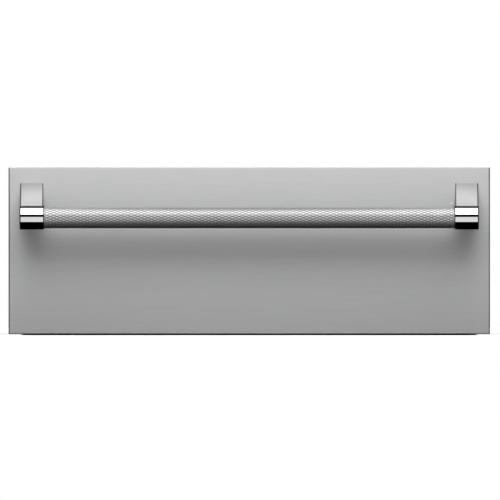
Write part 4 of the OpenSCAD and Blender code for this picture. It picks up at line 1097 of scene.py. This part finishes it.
        # Painted shade: the post's colour darkens along its two side edges.
        rim_shade_bands = Band(Axis.X, middle, (high.x - low.x) / 2 - self.post_rim, self.rim_fade, self.rim_shade)
        finish = replace(POST_STEEL, name=f"{side.word} {POST_STEEL.name}", bands=(rim_shade_bands,))
        blank = Packed(node).eased(self.post_edge, self.post_angle)
        blank.piece(f"{side.word}_satin_post", finish, "drawer", "satin_post", [node])

    def build(self) -> None:
        """Makes the bar, and on each side the cap, the strip of painted shade and the post."""
        self.bar()
        for side in Side:
            self.cap(side)
            self.pad(side)
            self.post(side)


# ---- Insulation and seal ----


@dataclass
class Insulation:
    """The mineral-wool slabs round the cavity and in the drawer's front."""

    grid: float = 30 * MM
    sag: float = 0.5 * MM
    clump: float = 25 * MM
    smooth: float = 60.0
    walls: tuple[str, ...] = ("top", "bottom", "side", "rear", "front")

    def slab(self, wall: str) -> None:
        """Makes the slab of one wall, whose faces are pressed in unevenly.

        Args:
            wall: The wall that it covers.
        """
        node = Packed(f"{wall}_insulation")
        blank = node.copy()
        bm = blank.bm
        low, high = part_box(node.node)
        for axis in Axis:
            length = high[axis.value] - low[axis.value]
            parts = int(length / self.grid) + 1
            for step in range(1, parts):
                bmesh.ops.bisect_plane(bm, geom=blank.everything, plane_no=axis.way,
                                       plane_co=low + axis.way * length * step / parts)
        bm.normal_update()
        for vert in bm.verts:
            press = 0.5 + 0.5 * noise.noise(vert.co / self.clump)
            vert.co -= vert.normal * self.sag * press
        node.become(blank, f"{wall}_wool_slab", self.smooth)

    def build(self) -> None:
        """Makes every slab."""
        for wall in self.walls:
            self.slab(wall)


@dataclass
class DoorSeal:
    """The rubber seal round the cavity's opening: a flat foot and a round bulb in one closed loop."""

    width: float = 8 * MM
    foot: float = 1.2 * MM
    corner_gap: float = 1 * MM
    bulb_steps: int = 14
    corner_steps: int = 8

    def build(self) -> None:
        """Makes the seal."""
        low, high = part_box("cavity_seal")
        bulb = (high.y - low.y - self.foot / 2) / 2
        first = math.acos((bulb - self.foot / 2) / bulb)
        sweep = math.tau - 2 * first
        turns = [first + sweep * step / self.bulb_steps for step in range(self.bulb_steps + 1)]
        middle = low.y + bulb
        half = self.width / 2
        section = [(half, high.y), (half, high.y - self.foot)]
        section += [(bulb * math.sin(a), middle + bulb * math.cos(a)) for a in turns]
        section += [(-half, high.y - self.foot), (-half, high.y)]
        inset = Vector((half, 0, half))
        blank = Blank()
        blank.looped(section, low + inset, high - inset, half + self.corner_gap, self.corner_steps)
        Packed("cavity_seal").become(blank, "rubber_seal_loop")


# ---- Casing ----


@dataclass
class Casing:
    """The beads pressed into the zinc-coated casing's top, sides and rear."""

    bead_width: float = 16 * MM
    bead_height: float = 1.2 * MM
    bead_sunk: float = 0.05 * MM
    bead_rings: tuple[int, int] = (24, 11)
    margin: float = 60 * MM
    top_beads: int = 5
    side_shares: Span = (0.32, 0.6)
    rear_shares: Span = (0.4, 0.62)

    def bead(self, blank: Blank, middle: Vector, length: float, along: Axis, out: Vector) -> None:
        """Adds a pressed bead: a long low half-round with rounded ends, raised from a sheet.

        Args:
            blank: The blank that takes it.
            middle: Its middle on the sheet's face.
            length: Its length.
            along: The axis that it runs along.
            out: The way out of the sheet.
        """
        bm, width = blank.bm, self.bead_width
        turn = Axis.Z.way.rotation_difference(along.way).to_matrix()
        u, v = self.bead_rings
        verts = bmesh.ops.create_uvsphere(bm, u_segments=u, v_segments=v, radius=width / 2)["verts"]
        bmesh.ops.rotate(bm, verts=verts, cent=(0, 0, 0), matrix=turn)
        for side in Side:
            end = [v for v in verts if v.co.dot(along.way) * side.value > 0]
            bmesh.ops.translate(bm, verts=end, vec=along.way * side.value * (length - width) / 2)
        flat = [2 * self.bead_height / width if abs(part) > 0.5 else 1.0 for part in out]
        bmesh.ops.scale(bm, verts=verts, vec=flat)
        bmesh.ops.translate(bm, verts=verts, vec=middle)
        own = set(verts)
        geom = verts + [part for kind in (bm.edges, bm.faces) for part in kind if part.verts[0] in own]
        bmesh.ops.bisect_plane(bm, geom=geom, plane_co=middle - out * self.bead_sunk, plane_no=out,
                               clear_inner=True)

    def wrap_beads(self) -> None:
        """Makes the beads on the wrap's top and sides."""
        low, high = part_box("outer_wrap")
        middle_y = (low.y + high.y) / 2
        pitch = (high.x - low.x) / (self.top_beads + 1)
        spots = [(low.x + row * pitch, high.z, Axis.Z.way) for row in range(1, self.top_beads + 1)]
        spots += [(x, low.z + (high.z - low.z) * share, Axis.X.way * side.value)
                  for side, x in zip(Side, (low.x, high.x)) for share in self.side_shares]
        blank = Blank()
        for x, z, out in spots:
            self.bead(blank, Vector((x, middle_y, z)), high.y - low.y - 2 * self.margin, Axis.Y, out)
        blank.piece("wrap_beads", ZINC_SHEET, "cabinet", "zinc_sheet")

    def rear_beads(self) -> None:
        """Makes the beads across the rear panel, between its two rows of air slots."""
        low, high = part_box("rear_panel")
        blank = Blank()
        for share in self.rear_shares:
            middle = Vector((0, high.y, low.z + (high.z - low.z) * share))
            self.bead(blank, middle, high.x - low.x - 2 * self.margin, Axis.X, Axis.Y.way)
        blank.piece("rear_beads", ZINC_SHEET, "cabinet", "zinc_sheet")

    def build(self) -> None:
        """Makes the beads."""
        self.wrap_beads()
        self.rear_beads()


# ---- Edges ----


@dataclass(frozen=True)
class Easing:
    """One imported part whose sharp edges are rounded, and how."""

    node: str
    name: str
    width: float
    least: float = 40 * MM


@dataclass
class EasedParts:
    """The folded, pressed and moulded parts, with the small rounds that their making leaves."""

    rows: tuple[Easing, ...] = (
        Easing("outer_wrap", "folded_wrap", 0.6 * MM, 60 * MM),
        Easing("rear_panel", "folded_rear_panel", 0.6 * MM, 60 * MM),
        Easing("base_pan", "folded_base_pan", 0.6 * MM, 60 * MM),
        Easing("control_deck", "folded_control_deck", 0.5 * MM, 60 * MM),
        Easing("front_frame", "pressed_front_frame", 0.4 * MM),
        Easing("front_inner_panel", "folded_inner_panel", 0.5 * MM),
        Easing("left_rail", "folded_left_rail", 0.4 * MM),
        Easing("right_rail", "folded_right_rail", 0.4 * MM),
        Easing("rear_crossbar", "folded_rear_crossbar", 0.4 * MM),
        Easing("drawer_pan", "drawn_drawer_pan", 0.4 * MM, 60 * MM),
        Easing("control_fascia", "moulded_fascia", 0.5 * MM, 30 * MM),
        Easing("terminal_block", "moulded_terminal_block", 0.4 * MM, 5 * MM),
        Easing("cable_gland", "moulded_cable_gland", 0.4 * MM, 0.0),
        Easing("rubber_feet", "moulded_feet", 0.6 * MM, 0.0),
        Easing("element_brackets", "folded_element_brackets", 0.3 * MM, 8 * MM),
        Easing("board_components", "moulded_board_components", 0.2 * MM, 3 * MM),
    )

    def build(self) -> None:
        """Makes each part with its edges rounded and its large faces shaded flat."""
        for row in self.rows:
            node = Packed(row.node)
            made = node.become(node.eased(row.width, segments=2, least=row.least), row.name)
            shade = made.modifiers.new("flat shade", "WEIGHTED_NORMAL")
            shade.keep_sharp = True


# ---- Controls ----


@dataclass
class Controls:
    """The display's digits, and the buttons with their rounded rims and printed marks."""

    digit: Span = (6.0 * MM, 10.5 * MM)
    stroke: float = 1.2 * MM
    gap: float = 3.2 * MM
    end_share: float = 0.75
    reading: tuple[str, ...] = ("acdefg", "acdfg", "abfg", "adef")
    mask_inset: float = 1 * MM
    button_edge: float = 0.5 * MM
    print_rise: float = 0.05 * MM
    print_width: float = 0.55 * MM
    mark_radius: float = 2.5 * MM
    bar_step: float = 1.65 * MM
    bar_share: float = 0.7
    long_hand: float = 0.7
    short_hand: float = 0.6
    power_gap: float = math.radians(70)
    ring_steps: int = 32

    def segment_box(self, name: str, corner: Vector) -> tuple[Span, Span]:
        """Gives where one of a digit's segments lies.

        Args:
            name: The segment's letter, from a at the top to g in the middle.
            corner: The digit's low left corner.

        Returns:
            Its span across and its span in height.
        """
        width, height = self.digit
        half, thin, clear = height / 2, self.stroke / 2, self.stroke * self.end_share
        levels = {"a": height, "d": 0.0, "g": half}
        if name in levels:
            z = corner.z + levels[name]
            return (corner.x + clear, corner.x + width - clear), (z - thin, z + thin)
        x = corner.x + (width if name in "bc" else 0.0)
        z = corner.z + (half if name in "bf" else 0.0)
        return (x - thin, x + thin), (z + clear, z + half - clear)

    def display(self) -> None:
        """Makes the glowing segments, two figures, a degree sign and its letter, and the mask behind."""
        low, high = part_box("display_window")
        width, height = self.digit
        face = high.y + 2 * self.print_rise
        count = len(self.reading)
        left = (low.x + high.x - (count * width + (count - 1) * self.gap)) / 2
        base = (low.z + high.z - height) / 2
        blank = Blank()
        for place, lit in enumerate(self.reading):
            corner = Vector((left + place * (width + self.gap), 0, base))
            for name in lit:
                x, z = self.segment_box(name, corner)
                blank.box(x, (face - self.print_rise, face), z)
        mask = Blank()
        x, z = ((a + self.mask_inset, b - self.mask_inset) for a, b in ((low.x, high.x), (low.z, high.z)))
        mask.box(x, (face, face + self.print_rise), z)
        mask.piece("display_mask", FASCIA_BLACK, "cabinet", "fascia_black")
        blank.piece("display_digits", DIGIT_GLOW, "cabinet", "window_smoke")

    def ring(self, blank: Blank, middle: Vector, open_turn: float) -> None:
        """Prints a ring on a button, open at the top by an angle.

        Args:
            blank: The blank that takes it.
            middle: The ring's middle on the button's face.
            open_turn: The angle that stays open, or 0 for a whole ring.
        """
        bm = blank.bm
        inner = self.mark_radius - self.print_width
        corners = [(inner, 0.0), (self.mark_radius, 0.0), (self.mark_radius, -self.print_rise),
                   (inner, -self.print_rise)]
        verts = [bm.verts.new(middle + Vector((0, y, out))) for out, y in corners]
        face = bm.faces.new(verts)
        bmesh.ops.rotate(bm, verts=verts, cent=middle, matrix=Matrix.Rotation(open_turn / 2, 3, "Y"))
        bmesh.ops.spin(bm, geom=[face], cent=middle, axis=Axis.Y.way, angle=math.tau - open_turn,
                       steps=self.ring_steps, use_duplicate=False, use_merge=open_turn == 0)

    def mark(self, button: str) -> None:
        """Prints the mark of one button: a power sign, one to three bars, or a clock.

        Args:
            button: The button's name.
        """
        node = f"{button}_button"
        low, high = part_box(node)
        middle = Vector(((low.x + high.x) / 2, low.y, (low.z + high.z) / 2))
        thin, tall = self.print_width / 2, self.mark_radius
        blank = Blank()

        def line(x: Span, z: Span) -> None:
            """Prints a straight line by its spans from the button's middle."""
            blank.box((middle.x + x[0], middle.x + x[1]), (middle.y - self.print_rise, middle.y),
                      (middle.z + z[0], middle.z + z[1]))

        bars = {"low": 1, "medium": 2, "high": 3}.get(button, 0)
        for bar in range(bars):
            at = (bar - (bars - 1) / 2) * self.bar_step
            line((at - thin, at + thin), (-tall * self.bar_share, tall * self.bar_share))
        if button == "power":
            self.ring(blank, middle, self.power_gap)
            line((-thin, thin), (0.0, tall))
        if button == "timer":
            self.ring(blank, middle, 0.0)
            line((-thin, thin), (0.0, tall * self.long_hand))
            line((0.0, tall * self.short_hand), (-thin, thin))
        blank.clean()
        blank.piece(f"{button}_mark", PRINT_WHITE, Packed(node).body, "button_grey")

    def build(self) -> None:
        """Makes the display, and each button with its mark."""
        self.display()
        for button in ("power", "low", "medium", "high", "timer"):
            node = Packed(f"{button}_button")
            node.become(node.eased(self.button_edge), f"{button}_cap")
            self.mark(button)


# ---- Studio ----


@dataclass(frozen=True)
class Card:
    """A rectangle that only reflections see. It faces along an axis, at one place on it.

    first and second are its spans along the other two axes, and strength is 1 for white. A one-sided
    card is clear from behind.
    """

    name: str
    axis: Axis
    at: float
    first: Span
    second: Span
    strength: float
    one_sided: bool = False


@dataclass(frozen=True)
class Softbox:
    """A soft lamp: its size, its brightness (1 is white), its place, its aim and if reflections see it."""

    name: str
    size: Span
    radiance: float
    place: Triple
    aim: Triple
    in_gloss: bool


WIDE = (-4.0, 4.0)
PANEL = (-0.37, 0.37)
BAR = (-0.29, 0.29)
FAR, FOOT_END = -3.2, -0.54
GAP_FOOT = 0.64
LAMP_Y = -0.78
FLOOR_CARD = 2 * MM
FRONT_GLOW, DARK = 0.74, 0.01


@dataclass
class Studio:
    """The camera at the photograph's angle, the pale floor, the soft light and the cards for gloss."""

    view_width: float = 788 * MM
    lens: float = 1200.0
    sensor: float = 36.0
    clip: Span = (1.0, 200.0)
    middle: Span = (1.2 * MM, 134.6 * MM)
    world_light: float = 0.25
    floor_reach: float = 2.2
    floor_bounce: float = 0.1
    floor_pale: float = 0.8
    floor_lift: Span = (0.45, 1.0)
    floor_lift_reach: Span = (0.5, 1.2)
    lamps: tuple[Softbox, ...] = (
        Softbox("overhead", (2.6, 2.0), 1.16, (0, LAMP_Y, 1.1), (0, LAMP_Y, 0), True),
        Softbox("key", (1.5, 0.6), 2.15, (0, -0.98, 0.7), (0, -0.26, 0.15), False),
    )
    cards: tuple[Card, ...] = (
        Card("front card", Axis.Y, FAR, WIDE, (0.0, GAP_FOOT), FRONT_GLOW),
        Card("front floor card", Axis.Z, FLOOR_CARD, WIDE, (FAR, FOOT_END), FRONT_GLOW),
        Card("gap card", Axis.Y, FAR, WIDE, (GAP_FOOT, 1.98), DARK),
        Card("lip card", Axis.Z, 1.095, WIDE, (-1.79, -1.66), DARK),
        Card("panel card", Axis.Y, -0.2625, PANEL, (0.004, 0.172), 0.0, one_sided=True),
        Card("top card", Axis.Y, -0.2, PANEL, (0.268, 0.49), DARK, one_sided=True),
        Card("foot card", Axis.Z, FLOOR_CARD, (-0.8, 0.8), (FOOT_END, -0.262), 0.0),
        Card("bar back card", Axis.Z, 1.09, BAR, (-0.52, 0.25), 0.34),
        Card("bar foot card", Axis.Z, FLOOR_CARD + 0.2 * MM, BAR, (-0.85, FOOT_END), 0.3),
        *(Card("side card", Axis.X, x, (-1.3, -0.34), (0.0, 1.0), 0.02) for x in (-0.8, 0.8)),
    )

    def camera(self, front: float) -> None:
        """Sets the camera square to the drawer's front.

        Args:
            front: The place of the front's face along Y.
        """
        data = bpy.data.cameras.new("camera")
        data.lens, data.sensor_width = self.lens, self.sensor
        data.clip_start, data.clip_end = self.clip
        eye = bpy.data.objects.new("camera", data)
        eye.location = (self.middle[0], front - self.view_width * self.lens / self.sensor, self.middle[1])
        eye.rotation_euler = (math.pi / 2, 0, 0)
        bpy.context.scene.collection.objects.link(eye)
        bpy.context.scene.camera = eye

    def world(self) -> None:
        """Sets a world that is white to the camera, in gloss and through glass, and dimmer elsewhere."""
        world = bpy.data.worlds.new("studio")
        world.use_nodes = True
        bpy.context.scene.world = world
        tree = Tree(world.node_tree)
        path = tree.add("LightPath").outputs
        seen = tree.calc("MAXIMUM", path["Is Camera Ray"], path["Is Glossy Ray"])
        seen = tree.calc("MAXIMUM", seen, path["Is Transmission Ray"])
        light, white = (tree.add("Background", {"Color": WHITE, "Strength": strength}).outputs[0]
                        for strength in (self.world_light, 1.0))
        mixed = tree.add("MixShader", {0: seen, 1: light, 2: white})
        tree.add("OutputWorld", {"Surface": mixed.outputs[0]})

    def plane(self, name: str, axis: Axis, at: float, first: Span,
              second: Span) -> tuple[bpy.types.Object, Tree]:
        """Makes a rectangle that is part of the stage, in a material of its own.

        Args:
            name: The name of both.
            axis: The axis that it faces along.
            at: Its place on that axis.
            first: Its span along the first of the other two axes.
            second: Its span along the second.

        Returns:
            The object, and the tree of its material.
        """
        (left, right), (low, high) = first, second
        corners = [[left, low], [right, low], [right, high], [left, high]]
        for corner in corners:
            corner.insert(axis.value, at)
        bm = bmesh.new()
        bm.faces.new([bm.verts.new(corner) for corner in corners])
        mesh = bpy.data.meshes.new(name)
        bm.to_mesh(mesh)
        bm.free()
        material = bpy.data.materials.new(name)
        material.use_nodes = True
        mesh.materials.append(material)
        made = bpy.data.objects.new(name, mesh)
        bpy.context.scene.collection.objects.link(made)
        return made, Tree(material.node_tree)

    def floor(self) -> None:
        """Lays the pale floor. It shows as white to the camera and keeps the object's shadow."""
        reach = (-self.floor_reach, self.floor_reach)
        made, tree = self.plane("pale floor", Axis.Z, 0.0, reach, reach)
        made.name = "floor"
        camera = tree.add("LightPath").outputs["Is Camera Ray"]
        pale = tree.blend(camera, (self.floor_bounce,) * 3, (self.floor_pale,) * 3)
        matte = tree.add("BsdfDiffuse", {"Color": pale})
        far = tree.vector("LENGTH", tree.place())["Value"]
        lift = tree.spread(far, *self.floor_lift, *self.floor_lift_reach)
        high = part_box("outer_wrap")[1]
        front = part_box("front_frame")[0].y
        away = tree.vector("SUBTRACT", tree.place(), (0, (front + high.y) / 2, 0))[0]
        away = tree.vector("DIVIDE", tree.vector("ABSOLUTE", away)[0], (high.x, (high.y - front) / 2, 1))[0]
        across, back, _ = tree.add("SeparateXYZ", {0: away}).outputs
        clear = tree.calc("GREATER_THAN", tree.calc("MAXIMUM", across, back), 1.0)
        lift = tree.calc("MULTIPLY", camera, tree.calc("MULTIPLY", lift, clear))
        glow = tree.add("Emission", {"Color": WHITE, "Strength": lift})
        both = tree.add("AddShader", {0: matte.outputs[0], 1: glow.outputs[0]})
        tree.add("OutputMaterial", {"Surface": both.outputs[0]})

    def hang(self, card: Card) -> None:
        """Hangs one card.

        Args:
            card: The card.
        """
        made, tree = self.plane(card.name, card.axis, card.at, card.first, card.second)
        glow = tree.add("Emission", {"Color": WHITE, "Strength": card.strength})
        if card.one_sided:
            behind = tree.add("NewGeometry").outputs["Backfacing"]
            clear = tree.add("BsdfTransparent")
            glow = tree.add("MixShader", {0: behind, 1: glow.outputs[0], 2: clear.outputs[0]})
        tree.add("OutputMaterial", {"Surface": glow.outputs[0]})
        made.visible_camera = made.visible_shadow = made.visible_diffuse = False
        made.visible_transmission = made.visible_volume_scatter = False

    def light(self, lamp: Softbox) -> None:
        """Hangs one soft lamp.

        Args:
            lamp: The lamp.
        """
        data = bpy.data.lights.new(lamp.name, "AREA")
        data.shape = "RECTANGLE"
        data.size, data.size_y = lamp.size
        data.energy = lamp.radiance * math.pi * lamp.size[0] * lamp.size[1]
        made = bpy.data.objects.new(lamp.name, data)
        made.location = lamp.place
        made.rotation_euler = (Vector(lamp.aim) - Vector(lamp.place)).to_track_quat("-Z", "Y").to_euler()
        made.visible_glossy = lamp.in_gloss
        bpy.context.scene.collection.objects.link(made)

    def build(self) -> None:
        """Sets the whole studio up."""
        bpy.context.scene.view_settings.view_transform = "Standard"
        self.camera(SKIN_LOW.y)
        self.world()
        self.floor()
        for lamp in self.lamps:
            self.light(lamp)
        for card in self.cards:
            self.hang(card)


def dress_nodes() -> None:
    """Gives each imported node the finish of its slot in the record."""
    for part in frame["record"]["subparts"]:
        materials = frame["nodes"][part["node"]].data.materials
        materials.clear()
        materials.append(SLOT_FINISHES[part["material_slot"]].material())


def main() -> None:
    """Builds the studio and every sub-assembly."""
    logging.basicConfig(level=logging.INFO, format="%(message)s")
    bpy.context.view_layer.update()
    Studio().build()
    dress_nodes()
    for assembly in (DrawerFront(), Handle(), Insulation(), DoorSeal(), Casing(), EasedParts(), Controls()):
        assembly.build()


if __name__ == "__main__":
    main()
